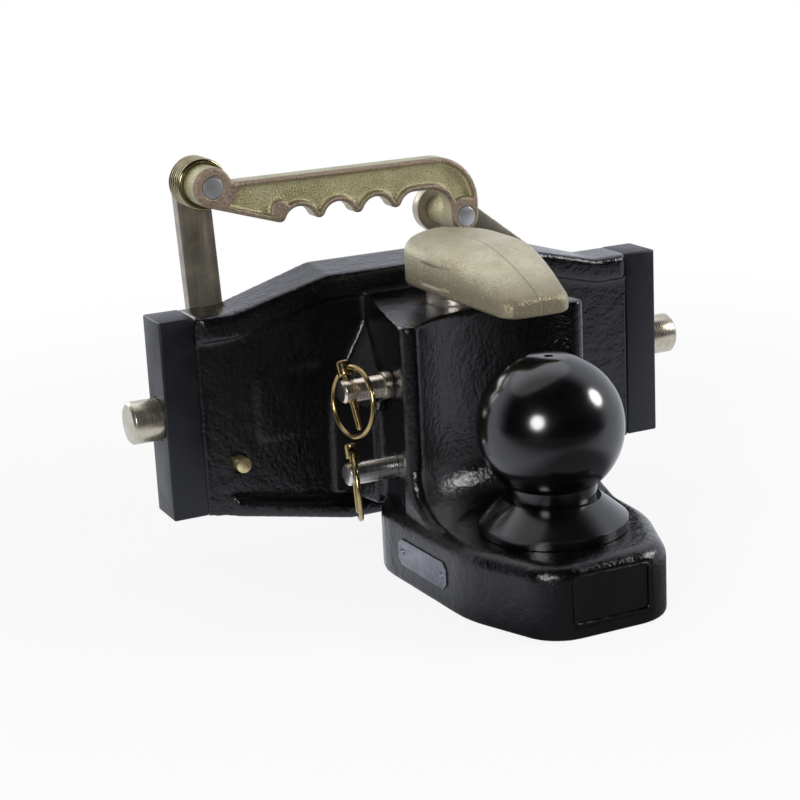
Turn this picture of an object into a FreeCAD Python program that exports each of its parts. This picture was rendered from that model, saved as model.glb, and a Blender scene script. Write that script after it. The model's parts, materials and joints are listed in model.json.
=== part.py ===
"""Tractor ball coupling: a carriage for hitch rails with an 80 mm ball, a hold-down and a bolt linkage.

Units are millimetres. +X is to the right seen from the ball side, +Y points to the tractor and +Z is up.
The origin is the middle of the common axis of the two locking bolts.
"""
import FreeCAD, Part
import math
import os

V = FreeCAD.Vector

# Clearances
running_clearance = 0.05
face_gap = 0.3
ring_play = 0.6
slot_play = 1.5
over_cut = 1.0
hair = 1e-6

# Guide carriage
carriage_width = 329.0
bar_height = 118.0
bar_depth = 28.4
bar_width = 21.5
bar_corner = 3.0
web_recess = 0.7
crown_half_width = 61.0
crown_rise = 14.7
crown_draft = 3.0
shoulder_half_width = 120.0
keel_half_width = 54.0
keel_drop = 18.3
heel_half_width = 118.0
heel_drop = 5.3
lip_reach = 5.0
lip_height = 15.0
lip_end_gap = 2.0
lip_edge_radius = 3.5
ridge_reach = 4.0
ridge_height = 11.5
ridge_half_width = 127.0
ridge_edge_radius = 2.5
back_pocket_half_width = 58.0
back_pocket_half_height = 44.0
back_pocket_depth = 13.0
back_pocket_corner = 12.0
web_panel_centre = -86.0
web_panel_width = 44.0
web_panel_height = 39.0
web_panel_rise = 0.8
web_panel_corner = 4.0

# Locking bolts and their springs
bolt_diameter = 25.0
bolt_guide_diameter = 26.0
bolt_relief_diameter = 24.0
bolt_relief_inside = 1.0
bolt_relief_outside = 0.5
bolt_reach = 18.3
bolt_chamfer = 1.6
bolt_length = 82.0
bolt_slot_depth = 13.0
spring_room = 28.5
bolt_spring_wire = 2.6
bolt_spring_diameter = 22.0
bolt_spring_turns = 5.0

# Ball
ball_diameter = 80.0
ball_forward = 152.0
ball_centre_height = 8.1
ball_top_flat_diameter = 22.0
ball_centre_hole_diameter = 4.4
ball_centre_hole_depth = 8.0
neck_diameter = 49.0
neck_step = 1.5
flare_height = 12.2
flange_diameter = 82.0
flange_rim = 5.5
shank_diameter = 44.0
thread_diameter = 36.0
shank_shoulder_drop = 17.0
washer_diameter = 56.0
washer_thickness = 4.0
nut_across_flats = 46.0
nut_height = 15.0
nut_recess_diameter = 60.0
thread_end = 1.5

# Foot that carries the ball
foot_top = -48.8
foot_thickness = 41.0
foot_half_width = 57.5
foot_front = 215.0
foot_nose_radius = 45.0
foot_rear = 30.0
foot_rear_half_width = 49.0
foot_rear_corner = 14.0
foot_top_radius = 9.0
foot_bottom_radius = 6.0
nose_panel_width = 44.0
nose_panel_height = 21.0
nose_panel_depth = 0.8

# Block between the web and the ball
block_top = 58.7
block_root_half_width = 37.0
block_tip_half_width = 57.5
wall_radius = 75.0
cove_radius = 24.0
bead_radius = 6.0
cove_edge_radius = 5.0
gusset_top = 43.2
gusset_knee = -0.8
gusset_half_width = 62.0
gusset_reach = 46.0

# Hold-down
post_forward = 50.0
post_diameter = 37.0
post_end_gap = 0.5
post_depth = 105.5
head_underside = 70.2
head_top = 99.2
head_radius = 30.0
head_shoulder = 34.0
head_shoulder_blend = 60.0
nose_half_width = 20.0
nose_reach = 96.0
nose_top = 80.0
nose_flat = 20.0
nose_corner = 12.0
head_edge_radius = 8.0
head_lower_edge_radius = 2.0
flank_panel_size = 13.0
flank_panel_depth = 0.8
flank_panel_forward = 10.0
flank_panel_height = 85.5

# Clevis pins through the block, with their linch pins
clevis_offset = 16.0
clevis_diameter = 13.0
clevis_upper_height = 20.5
clevis_lower_height = -27.5
clevis_left_end = 83.5
clevis_right_end = 57.0
clevis_head_diameter = 20.0
clevis_head_thickness = 6.0
clevis_chamfer = 1.2
clevis_collar_diameter = 15.6
clevis_collar_width = 5.0
linch_inset = 5.5
linch_shank_diameter = 4.4
linch_drop = 23.0
linch_head_height = 13.0
linch_head_diameter = 8.6
linch_head_length = 9.0
linch_ring_radius = 19.5
linch_wire_diameter = 3.0
upper_linch_lean = 31.0
lower_linch_lean = 11.0
upper_linch_turn = 12.0
lower_linch_turn = -20.0

# Lever linkage behind the carriage
lever_thickness = 8.0
left_pivot_x = -121.5
left_pivot_drop = 30.8
left_lever_half_width = 10.2
right_pivot_x = 121.5
right_pivot_rise = 24.2
right_lever_half_width = 14.5
right_arm_half_width = 9.5
pivot_pin_diameter = 9.3
pivot_pin_stand_out = 6.5
blind_pin_depth = 18.0
drive_pin_diameter = 8.0
clip_diameter = 17.0
clip_thickness = 1.6
left_pin_swing = 5.5
right_pin_swing = 10.3
left_bolt_travel = 18.9
right_bolt_travel = 19.8

# Carrying and release handle
handle_left_x = -128.5
handle_left_z = 132.4
handle_right_x = 28.8
handle_right_z = 97.5
handle_front = 8.0
handle_thickness = 14.0
handle_left_boss_radius = 11.6
handle_right_boss_radius = 8.8
handle_pin_diameter = 12.0
grip_top = 134.5
grip_cusp = 108.0
grip_valley = 116.0
grip_end_gap = 44.9
grip_pitch = 24.3
grip_scallops = 3
grip_cusp_radius = 3.6
grip_neck_radius = 5.0
grip_throat_radius = 14.0
grip_edge_radius = 2.0
grip_rim = 3.0
grip_recess_depth = 3.6
grip_boss_land = 3.0
grip_stub_radius = 5.5
grip_stub_rise = 7.5
handle_spring_wire = 2.9
handle_spring_turns = 6.0

# Places that follow from the sizes above
bar_outer = carriage_width / 2
bar_inner = bar_outer - bar_width
bar_top = bar_height / 2
bar_back = bar_depth / 2
bar_front = -bar_back
web_front = bar_front + web_recess
web_back = bar_back
crown_top = bar_top + crown_rise
ball_y = web_front - ball_forward
post_y = web_front - post_forward
foot_bottom = foot_top - foot_thickness
clevis_y = post_y - clevis_offset
guide_radius = bolt_guide_diameter / 2
bolt_inner = bar_outer + bolt_reach - bolt_length
bore_end = bolt_inner - spring_room
lever_front = web_back + face_gap
lever_back = lever_front + lever_thickness
handle_y = web_front - handle_front
handle_back = handle_y + handle_thickness
left_pivot_z = -left_pivot_drop
right_pivot_z = right_pivot_rise
grip_last_cusp = handle_right_x - grip_end_gap
grip_first_cusp = grip_last_cusp - grip_scallops * grip_pitch


def strap_point(distance):
    """A point (x, z) on the left lever's centre line, this far from its pivot."""
    run = handle_left_x - left_pivot_x
    rise = handle_left_z - left_pivot_z
    length = math.hypot(run, rise)
    return left_pivot_x + run * distance / length, left_pivot_z + rise * distance / length


left_drive_x, left_drive_z = strap_point(left_pivot_drop)
right_drive_x, right_drive_z = right_pivot_x, 0.0


def front_face(points, y):
    """A flat face from (x, z) corners in the plane at this y."""
    corners = [V(x, y, z) for x, z in points]
    return Part.Face(Part.makePolygon(corners + corners[:1]))


def plan_face(points, z):
    """A flat face from (x, y) corners in the plane at this z."""
    corners = [V(x, y, z) for x, y in points]
    return Part.Face(Part.makePolygon(corners + corners[:1]))


def along_y(face, length):
    """A face pushed along +Y."""
    return face.extrude(V(0, length, 0))


def rod_y(radius, x, z, low, high):
    """A round rod parallel to Y."""
    return Part.makeCylinder(radius, high - low, V(x, low, z), V(0, 1, 0))


def rod_x(radius, y, z, low, high):
    """A round rod parallel to X."""
    return Part.makeCylinder(radius, high - low, V(low, y, z), V(1, 0, 0))


def rod_z(radius, x, y, low, high):
    """An upright round rod."""
    return Part.makeCylinder(radius, high - low, V(x, y, low))


def block_between(low, high):
    """A box from its lowest and highest corners."""
    size = V(*high) - V(*low)
    return Part.makeBox(size.x, size.y, size.z, V(*low))


def mirrored(solid):
    """The solid together with its mirror image across x = 0."""
    return solid.fuse(solid.mirror(V(0, 0, 0), V(1, 0, 0)))


def edges_where(solid, test):
    """The solid's edges whose every sampled point passes the test."""
    chosen = []
    for edge in solid.Edges:
        first, last = edge.ParameterRange
        samples = [edge.valueAt(first + (last - first) * share) for share in (0.0, 0.3, 0.7, 1.0)]
        if all(test(point) for point in samples):
            chosen.append(edge)
    return chosen


def link_plate(ends, radius, y, thickness):
    """A flat bar with round ends through two (x, z) points."""
    (x0, z0), (x1, z1) = ends
    length = math.hypot(x1 - x0, z1 - z0)
    across = V(-(z1 - z0) / length * radius, 0, (x1 - x0) / length * radius)
    start, stop = V(x0, y, z0), V(x1, y, z1)
    ahead = V(x1 - x0, 0, z1 - z0).normalize() * radius
    edges = [
        Part.LineSegment(start + across, stop + across).toShape(),
        Part.Arc(stop + across, stop + ahead, stop - across).toShape(),
        Part.LineSegment(stop - across, start - across).toShape(),
        Part.Arc(start - across, start - ahead, start + across).toShape(),
    ]
    return along_y(Part.Face(Part.Wire(edges)), thickness)


def coil(radius, wire, turns, length):
    """A round-wire coil along +Z from the origin, of this outside radius, made of tilted half rings."""
    mean = radius - wire / 2
    climb = (length - wire) / turns / 2
    halves = []
    for number in range(round(2 * turns)):
        side = 1 if number % 2 == 0 else -1
        start = V(side * mean, 0, wire / 2 + climb * number)
        section = Part.Face(Part.Wire(Part.makeCircle(wire / 2, start, V(0, 1, 0))))
        middle = V(0, 0, start.z + climb / 2)
        halves.append(section.revolve(middle, V(side * climb, 0, 2 * mean), 180))
    return halves[0].fuse(halves[1:])


def crown_line(half_width, drop):
    """The crowned top edge from right to left, this far below the top."""
    return [
        (half_width, bar_top - drop),
        (shoulder_half_width, bar_top - drop),
        (crown_half_width, crown_top - drop),
        (-crown_half_width, crown_top - drop),
        (-shoulder_half_width, bar_top - drop),
        (-half_width, bar_top - drop),
    ]


def keel_line(half_width, rise):
    """The bottom edge from left to right, this far above the lowest line."""
    slope = (keel_drop - heel_drop) / (heel_half_width - keel_half_width)
    end = -bar_top - heel_drop + rise + slope * (half_width - heel_half_width)
    return [
        (-half_width, end),
        (-keel_half_width, -bar_top - keel_drop + rise),
        (keel_half_width, -bar_top - keel_drop + rise),
        (half_width, end),
    ]


def make_web():
    """The plate between the guide bars, with a crowned top that rises towards the back."""
    reach = bar_inner + bar_width / 4
    lower = [(-reach, -bar_top), (-heel_half_width, -bar_top - heel_drop)]
    lower += keel_line(heel_half_width, 0)[1:3]
    lower += [(heel_half_width, -bar_top - heel_drop), (reach, -bar_top)]
    front = lower + crown_line(reach, 0)
    back = list(front)
    for place, (x, z) in enumerate(front):
        if z > bar_top:
            back[place] = (x, z + crown_draft)
    wires = [front_face(front, web_front).OuterWire, front_face(back, web_back).OuterWire]
    return Part.makeLoft(wires, True, True)


def make_bars():
    """The two machined guide bars."""
    bar = block_between((bar_inner, bar_front, -bar_top), (bar_outer, bar_back, bar_top))
    ends = edges_where(bar, lambda p: p.x > bar_outer - hair and abs(p.z) > bar_top - hair)
    return mirrored(bar.makeFillet(bar_corner, ends))


def make_lip():
    """The rounded lip that runs along the top of the web."""
    half = bar_inner - lip_end_gap
    outline = crown_line(half, 0) + crown_line(half, lip_height)[::-1]
    lip = along_y(front_face(outline, web_front - lip_reach), 2 * lip_reach)
    front = edges_where(lip, lambda p: p.y < web_front - lip_reach + hair)
    return lip.makeFillet(lip_edge_radius, front)


def make_ridge():
    """The raised ridge along the bottom of the web."""
    outline = keel_line(ridge_half_width, 0) + keel_line(ridge_half_width, ridge_height)[::-1]
    ridge = along_y(front_face(outline, web_front - ridge_reach), 2 * ridge_reach)
    front = edges_where(ridge, lambda p: p.y < web_front - ridge_reach + hair)
    return ridge.makeFillet(ridge_edge_radius, front)


def make_foot():
    """The thick rounded foot under the ball."""
    front = web_front - foot_front
    rear = web_front - foot_rear
    side = front + foot_nose_radius
    inner = foot_half_width - foot_nose_radius
    bow = foot_nose_radius * math.sqrt(0.5)
    right = [V(foot_rear_half_width, rear, 0), V(foot_half_width, side, 0), V(inner, front, 0)]
    left = [V(-p.x, p.y, 0) for p in right]
    middle = V(inner + bow, side - bow, 0)
    edges = [
        Part.LineSegment(right[0], right[1]).toShape(),
        Part.Arc(right[1], middle, right[2]).toShape(),
        Part.LineSegment(right[2], left[2]).toShape(),
        Part.Arc(left[2], V(-middle.x, middle.y, 0), left[1]).toShape(),
        Part.LineSegment(left[1], left[0]).toShape(),
        Part.LineSegment(left[0], right[0]).toShape(),
    ]
    foot = Part.Face(Part.Wire(edges)).extrude(V(0, 0, foot_thickness))
    foot.translate(V(0, 0, foot_bottom))
    corners = edges_where(
        foot, lambda p: abs(p.y - rear) < hair and abs(abs(p.x) - foot_rear_half_width) < hair
    )
    foot = foot.makeFillet(foot_rear_corner, corners)
    foot = foot.makeFillet(foot_top_radius, edges_where(foot, lambda p: p.z > foot_top - hair))
    foot = foot.makeFillet(foot_bottom_radius, edges_where(foot, lambda p: p.z < foot_bottom + hair))
    panel = block_between(
        (-nose_panel_width / 2, front - over_cut, (foot_top + foot_bottom - nose_panel_height) / 2),
        (nose_panel_width / 2, front + nose_panel_depth, (foot_top + foot_bottom + nose_panel_height) / 2),
    )
    return foot.cut(panel)


def bead_centre():
    """The centre (x, y) of the rounded edge where the concave wall meets the block's right side."""
    x = block_tip_half_width - bead_radius
    return x, ball_y + math.sqrt((wall_radius + bead_radius)**2 - x**2)


def side_contact():
    """The point (x, y) where the block's right side runs into that rounded edge."""
    x, y = bead_centre()
    run, fall = x - block_root_half_width, web_front - y
    reach = math.hypot(run, fall)
    heading = math.atan2(run, fall) + math.asin(bead_radius / reach)
    return x + bead_radius * math.cos(heading), y + bead_radius * math.sin(heading)


def make_block():
    """The block that grows out of the web, with a concave wall round the ball and rounded tips."""
    x, y = bead_centre()
    share = wall_radius / (wall_radius + bead_radius)
    contact = side_contact()
    root = V(block_root_half_width, web_front, 0)
    side = V(contact[0], contact[1], 0)
    tip = V(x + bead_radius * math.sqrt(0.5), y - bead_radius * math.sqrt(0.5), 0)
    wall = V(x * share, ball_y + (y - ball_y) * share, 0)
    back = V(block_root_half_width, web_front + lip_reach, 0)
    right = [back, root, side, tip, wall]
    left = [V(-p.x, p.y, 0) for p in right]
    edges = [
        Part.LineSegment(right[0], right[1]).toShape(),
        Part.LineSegment(right[1], right[2]).toShape(),
        Part.Arc(right[2], right[3], right[4]).toShape(),
        Part.Arc(right[4], V(0, ball_y + wall_radius, 0), left[4]).toShape(),
        Part.Arc(left[4], left[3], left[2]).toShape(),
        Part.LineSegment(left[2], left[1]).toShape(),
        Part.LineSegment(left[1], left[0]).toShape(),
        Part.LineSegment(left[0], right[0]).toShape(),
    ]
    floor = foot_top - foot_top_radius
    block = Part.Face(Part.Wire(edges)).extrude(V(0, 0, block_top - floor))
    block.translate(V(0, 0, floor))
    return block


def make_cove():
    """The hollow fillet between the concave wall and the foot, which runs forward along the foot's sides."""
    inner = wall_radius - cove_radius
    outer = wall_radius + 2 * bead_radius
    floor = foot_top - foot_top_radius
    rim = foot_top + cove_radius
    bow = cove_radius * math.sqrt(0.5)
    edges = [
        Part.LineSegment(V(inner, 0, foot_top), V(inner, 0, floor)).toShape(),
        Part.LineSegment(V(inner, 0, floor), V(outer, 0, floor)).toShape(),
        Part.LineSegment(V(outer, 0, floor), V(outer, 0, rim)).toShape(),
        Part.LineSegment(V(outer, 0, rim), V(wall_radius, 0, rim)).toShape(),
        Part.Arc(V(wall_radius, 0, rim), V(inner + bow, 0, rim - bow), V(inner, 0, foot_top)).toShape(),
    ]
    ring = Part.Face(Part.Wire(edges)).revolve(V(0, 0, 0), V(0, 0, 1), 180)
    ring.translate(V(0, ball_y, 0))
    y = bead_centre()[1]
    room = block_between((-block_tip_half_width, ball_y, floor), (block_tip_half_width, y + outer, rim))
    cove = ring.common(room)
    crest = edges_where(cove, lambda p: abs(abs(p.x) - block_tip_half_width) < hair and p.z > foot_top + hair)
    return cove.makeFillet(cove_edge_radius, crest)


def block_side(y):
    """The half width of the block's slanted side at this y."""
    x, end = side_contact()
    return block_root_half_width + (x - block_root_half_width) * (web_front - y) / (web_front - end)


def make_gusset():
    """The slanted gusset that widens the right root of the block towards the bottom."""
    reach_y = web_front - gusset_reach
    corners = [
        (gusset_half_width, web_front),
        (block_side(reach_y), reach_y),
        (block_root_half_width - lip_reach, web_front + lip_reach),
    ]
    base = plan_face(corners, gusset_knee)
    apex = Part.Vertex(block_root_half_width, web_front, gusset_top)
    upper = Part.makeLoft([base.OuterWire, apex], True, True)
    lower = base.extrude(V(0, 0, foot_top - foot_top_radius - gusset_knee))
    return upper.fuse(lower)


def make_web_panel():
    """The bare raised panel on the left of the web."""
    half = web_panel_width / 2
    panel = block_between(
        (web_panel_centre - half, web_front - web_panel_rise, -web_panel_height / 2),
        (web_panel_centre + half, web_front + web_panel_rise, web_panel_height / 2),
    )
    corners = edges_where(
        panel,
        lambda p: abs(abs(p.x - web_panel_centre) - half) < hair
        and abs(abs(p.z) - web_panel_height / 2) < hair,
    )
    return panel.makeFillet(web_panel_corner, corners)


def bolt_bores():
    """The bores for the locking bolts and the windows that their drive pins pass through."""
    bore = rod_x(guide_radius + running_clearance, 0, 0, bore_end, bar_outer + bolt_reach)
    half = drive_pin_diameter / 2 + slot_play
    depth = guide_radius - bolt_slot_depth
    left = block_between(
        (left_drive_x - half, depth, -left_pin_swing - half),
        (left_drive_x + left_bolt_travel + half, web_back + over_cut, half),
    )
    right = block_between(
        (right_drive_x - right_bolt_travel - half, depth, -half),
        (right_drive_x + half, web_back + over_cut, right_pin_swing + half),
    )
    return mirrored(bore).fuse([left, right])


def make_carriage_body():
    """The carriage casting: guide bars, web, lip, block and foot in one piece."""
    body = make_web().fuse([make_bars(), make_lip(), make_ridge(), make_foot(), make_block()])
    body = body.fuse([make_cove(), mirrored(make_gusset()), make_web_panel()])
    pocket = block_between(
        (-back_pocket_half_width, web_back - back_pocket_depth, -back_pocket_half_height),
        (back_pocket_half_width, web_back + over_cut, back_pocket_half_height),
    )
    corners = edges_where(pocket, lambda p: abs(abs(p.x) - back_pocket_half_width) < hair
                          and abs(abs(p.z) - back_pocket_half_height) < hair)
    pocket = pocket.makeFillet(back_pocket_corner, corners)
    post_radius = post_diameter / 2 + running_clearance
    post_bore = rod_z(post_radius, 0, post_y, block_top - post_depth, block_top + over_cut)
    shank_radius = shank_diameter / 2 + running_clearance
    shank_bore = rod_z(shank_radius, 0, ball_y, foot_bottom - over_cut, foot_top + over_cut)
    shoulder = foot_top - shank_shoulder_drop
    nut_recess = rod_z(nut_recess_diameter / 2, 0, ball_y, foot_bottom - over_cut, shoulder)
    cuts = [pocket, post_bore, shank_bore, nut_recess, bolt_bores()]
    for height in (clevis_upper_height, clevis_lower_height):
        bore_radius = clevis_diameter / 2 + running_clearance
        cuts.append(rod_x(bore_radius, clevis_y, height, -clevis_left_end, clevis_right_end))
    pivot_radius = pivot_pin_diameter / 2 + running_clearance
    cuts.append(rod_y(pivot_radius, left_pivot_x, left_pivot_z, web_front - over_cut, web_back + over_cut))
    blind_end = web_back - blind_pin_depth
    cuts.append(rod_y(pivot_radius, right_pivot_x, right_pivot_z, blind_end, web_back + over_cut))
    return body.cut(cuts).removeSplitter()


def make_coupling_ball():
    """The ball with its neck, flared flange, shank and threaded end, turned in one piece."""
    radius = ball_diameter / 2
    top_radius = ball_top_flat_diameter / 2
    top = ball_centre_height + math.sqrt(radius**2 - top_radius**2)
    neck = neck_diameter / 2
    neck_top = ball_centre_height - math.sqrt(radius**2 - neck**2)
    flange = flange_diameter / 2
    flange_top = foot_top + flange_rim
    shoulder = foot_top - shank_shoulder_drop
    end = foot_bottom + thread_end
    corners = [
        V(neck, 0, neck_top),
        V(neck, 0, flange_top + flare_height),
        V(neck + neck_step, 0, flange_top + flare_height),
        V(flange, 0, flange_top),
        V(flange, 0, foot_top),
        V(shank_diameter / 2, 0, foot_top),
        V(shank_diameter / 2, 0, shoulder),
        V(thread_diameter / 2, 0, shoulder),
        V(thread_diameter / 2, 0, end),
        V(0, 0, end),
        V(0, 0, top),
        V(top_radius, 0, top),
    ]
    edges = [Part.LineSegment(a, b).toShape() for a, b in zip(corners, corners[1:])]
    edges.append(Part.Arc(corners[-1], V(radius, 0, ball_centre_height), corners[0]).toShape())
    ball = Part.Face(Part.Wire(edges)).revolve(V(0, 0, 0), V(0, 0, 1), 360)
    ball.translate(V(0, ball_y, 0))
    hole = rod_z(ball_centre_hole_diameter / 2, 0, ball_y, top - ball_centre_hole_depth, top + over_cut)
    return ball.cut(hole)


def make_ball_washer():
    """The washer that the ball's nut pulls against."""
    top = foot_top - shank_shoulder_drop
    ring = rod_z(washer_diameter / 2, 0, ball_y, top - washer_thickness, top)
    low = top - washer_thickness - over_cut
    return ring.cut(rod_z(thread_diameter / 2 + running_clearance, 0, ball_y, low, top + over_cut))


def make_ball_nut():
    """The hexagon nut on the ball's threaded end."""
    top = foot_top - shank_shoulder_drop - washer_thickness
    corner = nut_across_flats / math.sqrt(3)
    points = [
        (corner * math.cos(math.radians(60 * i)), ball_y + corner * math.sin(math.radians(60 * i)))
        for i in range(6)
    ]
    nut = plan_face(points, top - nut_height).extrude(V(0, 0, nut_height))
    low = top - nut_height - over_cut
    return nut.cut(rod_z(thread_diameter / 2 + running_clearance, 0, ball_y, low, top + over_cut))


def make_hold_down():
    """The hold-down: a swung head over the ball on a turned post with two ring grooves."""
    tail = head_radius
    nose = nose_reach
    half = nose_half_width
    edges = [
        Part.Arc(V(head_radius, 0, 0), V(0, tail, 0), V(-head_radius, 0, 0)).toShape(),
        Part.LineSegment(V(-head_radius, 0, 0), V(-head_radius, -head_shoulder, 0)).toShape(),
        Part.LineSegment(V(-head_radius, -head_shoulder, 0), V(-half, -nose, 0)).toShape(),
        Part.LineSegment(V(-half, -nose, 0), V(half, -nose, 0)).toShape(),
        Part.LineSegment(V(half, -nose, 0), V(head_radius, -head_shoulder, 0)).toShape(),
        Part.LineSegment(V(head_radius, -head_shoulder, 0), V(head_radius, 0, 0)).toShape(),
    ]
    height = head_top - head_underside
    head = Part.Face(Part.Wire(edges)).extrude(V(0, 0, height))
    corners = edges_where(head, lambda p: abs(p.y + nose) < hair and abs(abs(p.x) - half) < hair)
    head = head.makeFillet(nose_corner, corners)
    shoulders = edges_where(
        head, lambda p: abs(p.y + head_shoulder) < hair and abs(abs(p.x) - head_radius) < hair
    )
    head = head.makeFillet(head_shoulder_blend, shoulders)
    fall = head_top - nose_top
    run = nose - nose_flat
    bend_radius = (run**2 + fall**2) / (2 * fall)
    half_turn = math.asin(run / bend_radius) / 2
    middle = V(
        0,
        -nose_flat - bend_radius * math.sin(half_turn),
        height - bend_radius * (1 - math.cos(half_turn)),
    )
    bend = Part.Arc(V(0, -nose_flat, height), middle, V(0, -nose, height - fall)).toShape()
    past = -nose - over_cut
    over = height + over_cut
    above = [
        bend,
        Part.LineSegment(V(0, -nose, height - fall), V(0, past, height - fall)).toShape(),
        Part.LineSegment(V(0, past, height - fall), V(0, past, over)).toShape(),
        Part.LineSegment(V(0, past, over), V(0, -nose_flat, over)).toShape(),
        Part.LineSegment(V(0, -nose_flat, over), V(0, -nose_flat, height)).toShape(),
    ]
    waste = Part.Face(Part.Wire(above)).extrude(V(4 * head_radius, 0, 0))
    waste.translate(V(-2 * head_radius, 0, 0))
    head = head.cut(waste)
    upper = edges_where(head, lambda p: p.z > nose_top - head_underside - hair
                        and (abs(p.y + nose_flat) > hair or abs(p.x) > head_radius - hair))
    head = head.makeFillet(head_edge_radius, upper)
    head = head.makeFillet(head_lower_edge_radius, edges_where(head, lambda p: p.z < hair))
    head.translate(V(0, post_y, head_underside))
    low = flank_panel_height - flank_panel_size / 2
    rear = post_y - flank_panel_forward
    panel = block_between(
        (-head_radius - over_cut, rear - flank_panel_size, low),
        (-head_radius + flank_panel_depth, rear, low + flank_panel_size),
    )
    head = head.cut(panel)
    post_end = block_top - post_depth + post_end_gap
    post = rod_z(post_diameter / 2, 0, post_y, post_end, head_underside + over_cut)
    groove_core = clevis_offset - clevis_diameter / 2 - face_gap
    groove_half = clevis_diameter / 2 + face_gap
    for level in (clevis_upper_height, clevis_lower_height):
        groove = rod_z(post_diameter, 0, post_y, level - groove_half, level + groove_half)
        groove = groove.cut(rod_z(groove_core, 0, post_y, level - groove_half, level + groove_half))
        post = post.cut(groove)
    return head.fuse(post).removeSplitter()


def linch_place(height, lean, turn):
    """Where a linch pin sits: its own Z is along the shank, and its own Y is the ring's hinge line."""
    spin = FreeCAD.Rotation(V(0, 0, 1), turn)
    tilt = FreeCAD.Rotation(V(1, 0, 0), -lean)
    spot = V(-clevis_left_end + linch_inset, clevis_y, height)
    return FreeCAD.Placement(spot, tilt.multiply(spin))


def make_clevis_pin(height, lean, with_collar):
    """A clevis pin with a head on the right and a cross hole for its linch pin on the left."""
    pin = rod_x(clevis_diameter / 2, clevis_y, height, -clevis_left_end, clevis_right_end)
    pin = pin.makeChamfer(clevis_chamfer, edges_where(pin, lambda p: p.x < -clevis_left_end + hair))
    head_end = clevis_right_end + clevis_head_thickness
    pin = pin.fuse(rod_x(clevis_head_diameter / 2, clevis_y, height, clevis_right_end, head_end))
    if with_collar:
        collar_radius = clevis_collar_diameter / 2
        seat = -block_side(clevis_y - collar_radius)
        pin = pin.fuse(rod_x(collar_radius, clevis_y, height, seat - clevis_collar_width, seat))
    hole = rod_z(linch_shank_diameter / 2 + running_clearance, 0, 0, -clevis_diameter, clevis_diameter)
    hole.Placement = linch_place(height, lean, 0)
    return pin.cut(hole).removeSplitter()


def make_linch_pin(height, lean, turn):
    """A linch pin's shank with a pointed tip, and its head with a cross hole for the ring."""
    radius = linch_shank_diameter / 2
    head_radius_here = linch_head_diameter / 2
    low = linch_head_height - linch_head_length / 2
    shank = rod_z(radius, 0, 0, -linch_drop, linch_head_height)
    shank = shank.makeChamfer(radius / 2, edges_where(shank, lambda p: p.z < -linch_drop + hair))
    head = rod_z(head_radius_here, 0, 0, low, low + linch_head_length)
    head = head.makeFillet(head_radius_here / 3, head.Edges)
    eye = Part.makeCylinder(
        linch_wire_diameter / 2 + ring_play,
        2 * head_radius_here,
        V(0, -head_radius_here, linch_head_height),
        V(0, 1, 0),
    )
    pin = shank.fuse(head).cut(eye).removeSplitter()
    pin.Placement = linch_place(height, lean, turn)
    return pin


def make_linch_ring(height, lean, turn):
    """A linch pin's spring ring, hinged in the head and snapped round the clevis pin."""
    ring = Part.makeTorus(
        linch_ring_radius, linch_wire_diameter / 2, V(0, 0, linch_head_height - linch_ring_radius), V(1, 0, 0)
    )
    ring.Placement = linch_place(height, lean, turn)
    return ring


def make_lock_bolt(side, drive_x):
    """A locking bolt with a milled slot for its drive pin; side is -1 on the left and 1 on the right."""
    relief_start = bar_outer - bolt_relief_inside
    nose_start = bar_outer + bolt_relief_outside
    tip = bar_outer + bolt_reach
    nose = rod_x(bolt_diameter / 2, 0, 0, nose_start, tip)
    nose = nose.makeChamfer(bolt_chamfer, edges_where(nose, lambda p: p.x > tip - hair))
    relief = rod_x(bolt_relief_diameter / 2, 0, 0, relief_start, nose_start)
    bolt = rod_x(guide_radius, 0, 0, bolt_inner, relief_start).fuse([relief, nose])
    if side < 0:
        bolt = bolt.mirror(V(0, 0, 0), V(1, 0, 0))
    half = drive_pin_diameter / 2 + slot_play
    slot = block_between(
        (drive_x - half, guide_radius - bolt_slot_depth, -guide_radius - over_cut),
        (drive_x + half, guide_radius + over_cut, guide_radius + over_cut),
    )
    return bolt.cut(slot)


def make_bolt_spring(side):
    """The coil spring that pushes a locking bolt out."""
    spring = coil(
        bolt_spring_diameter / 2, bolt_spring_wire, bolt_spring_turns, spring_room - 2 * running_clearance
    )
    start = V(side * (bore_end + running_clearance), 0, 0)
    spring.Placement = FreeCAD.Placement(start, FreeCAD.Rotation(V(0, 0, 1), V(side, 0, 0)))
    return spring


def lever_hole(radius, x, z):
    """A hole straight through a lever."""
    return rod_y(radius, x, z, lever_front - over_cut, lever_back + over_cut)


def make_left_lever():
    """The left lever, a flat strap from its pivot up to the handle."""
    ends = [(left_pivot_x, left_pivot_z), (handle_left_x, handle_left_z)]
    lever = link_plate(ends, left_lever_half_width, lever_front, lever_thickness)
    holes = [
        lever_hole(pivot_pin_diameter / 2 + running_clearance, left_pivot_x, left_pivot_z),
        lever_hole(drive_pin_diameter / 2, left_drive_x, left_drive_z),
        lever_hole(handle_pin_diameter / 2, handle_left_x, handle_left_z),
    ]
    return lever.cut(holes)


def make_right_lever():
    """The right lever, a bell crank with a long arm to the handle and a short arm to its bolt."""
    pivot = (right_pivot_x, right_pivot_z)
    handle_end = (handle_right_x, handle_right_z)
    long_arm = link_plate([pivot, handle_end], right_lever_half_width, lever_front, lever_thickness)
    drive_end = (right_drive_x, right_drive_z)
    short_arm = link_plate([pivot, drive_end], right_arm_half_width, lever_front, lever_thickness)
    holes = [
        lever_hole(pivot_pin_diameter / 2 + running_clearance, right_pivot_x, right_pivot_z),
        lever_hole(drive_pin_diameter / 2, right_drive_x, right_drive_z),
        lever_hole(handle_pin_diameter / 2, handle_right_x, handle_right_z),
    ]
    return long_arm.fuse(short_arm).cut(holes).removeSplitter()


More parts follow.
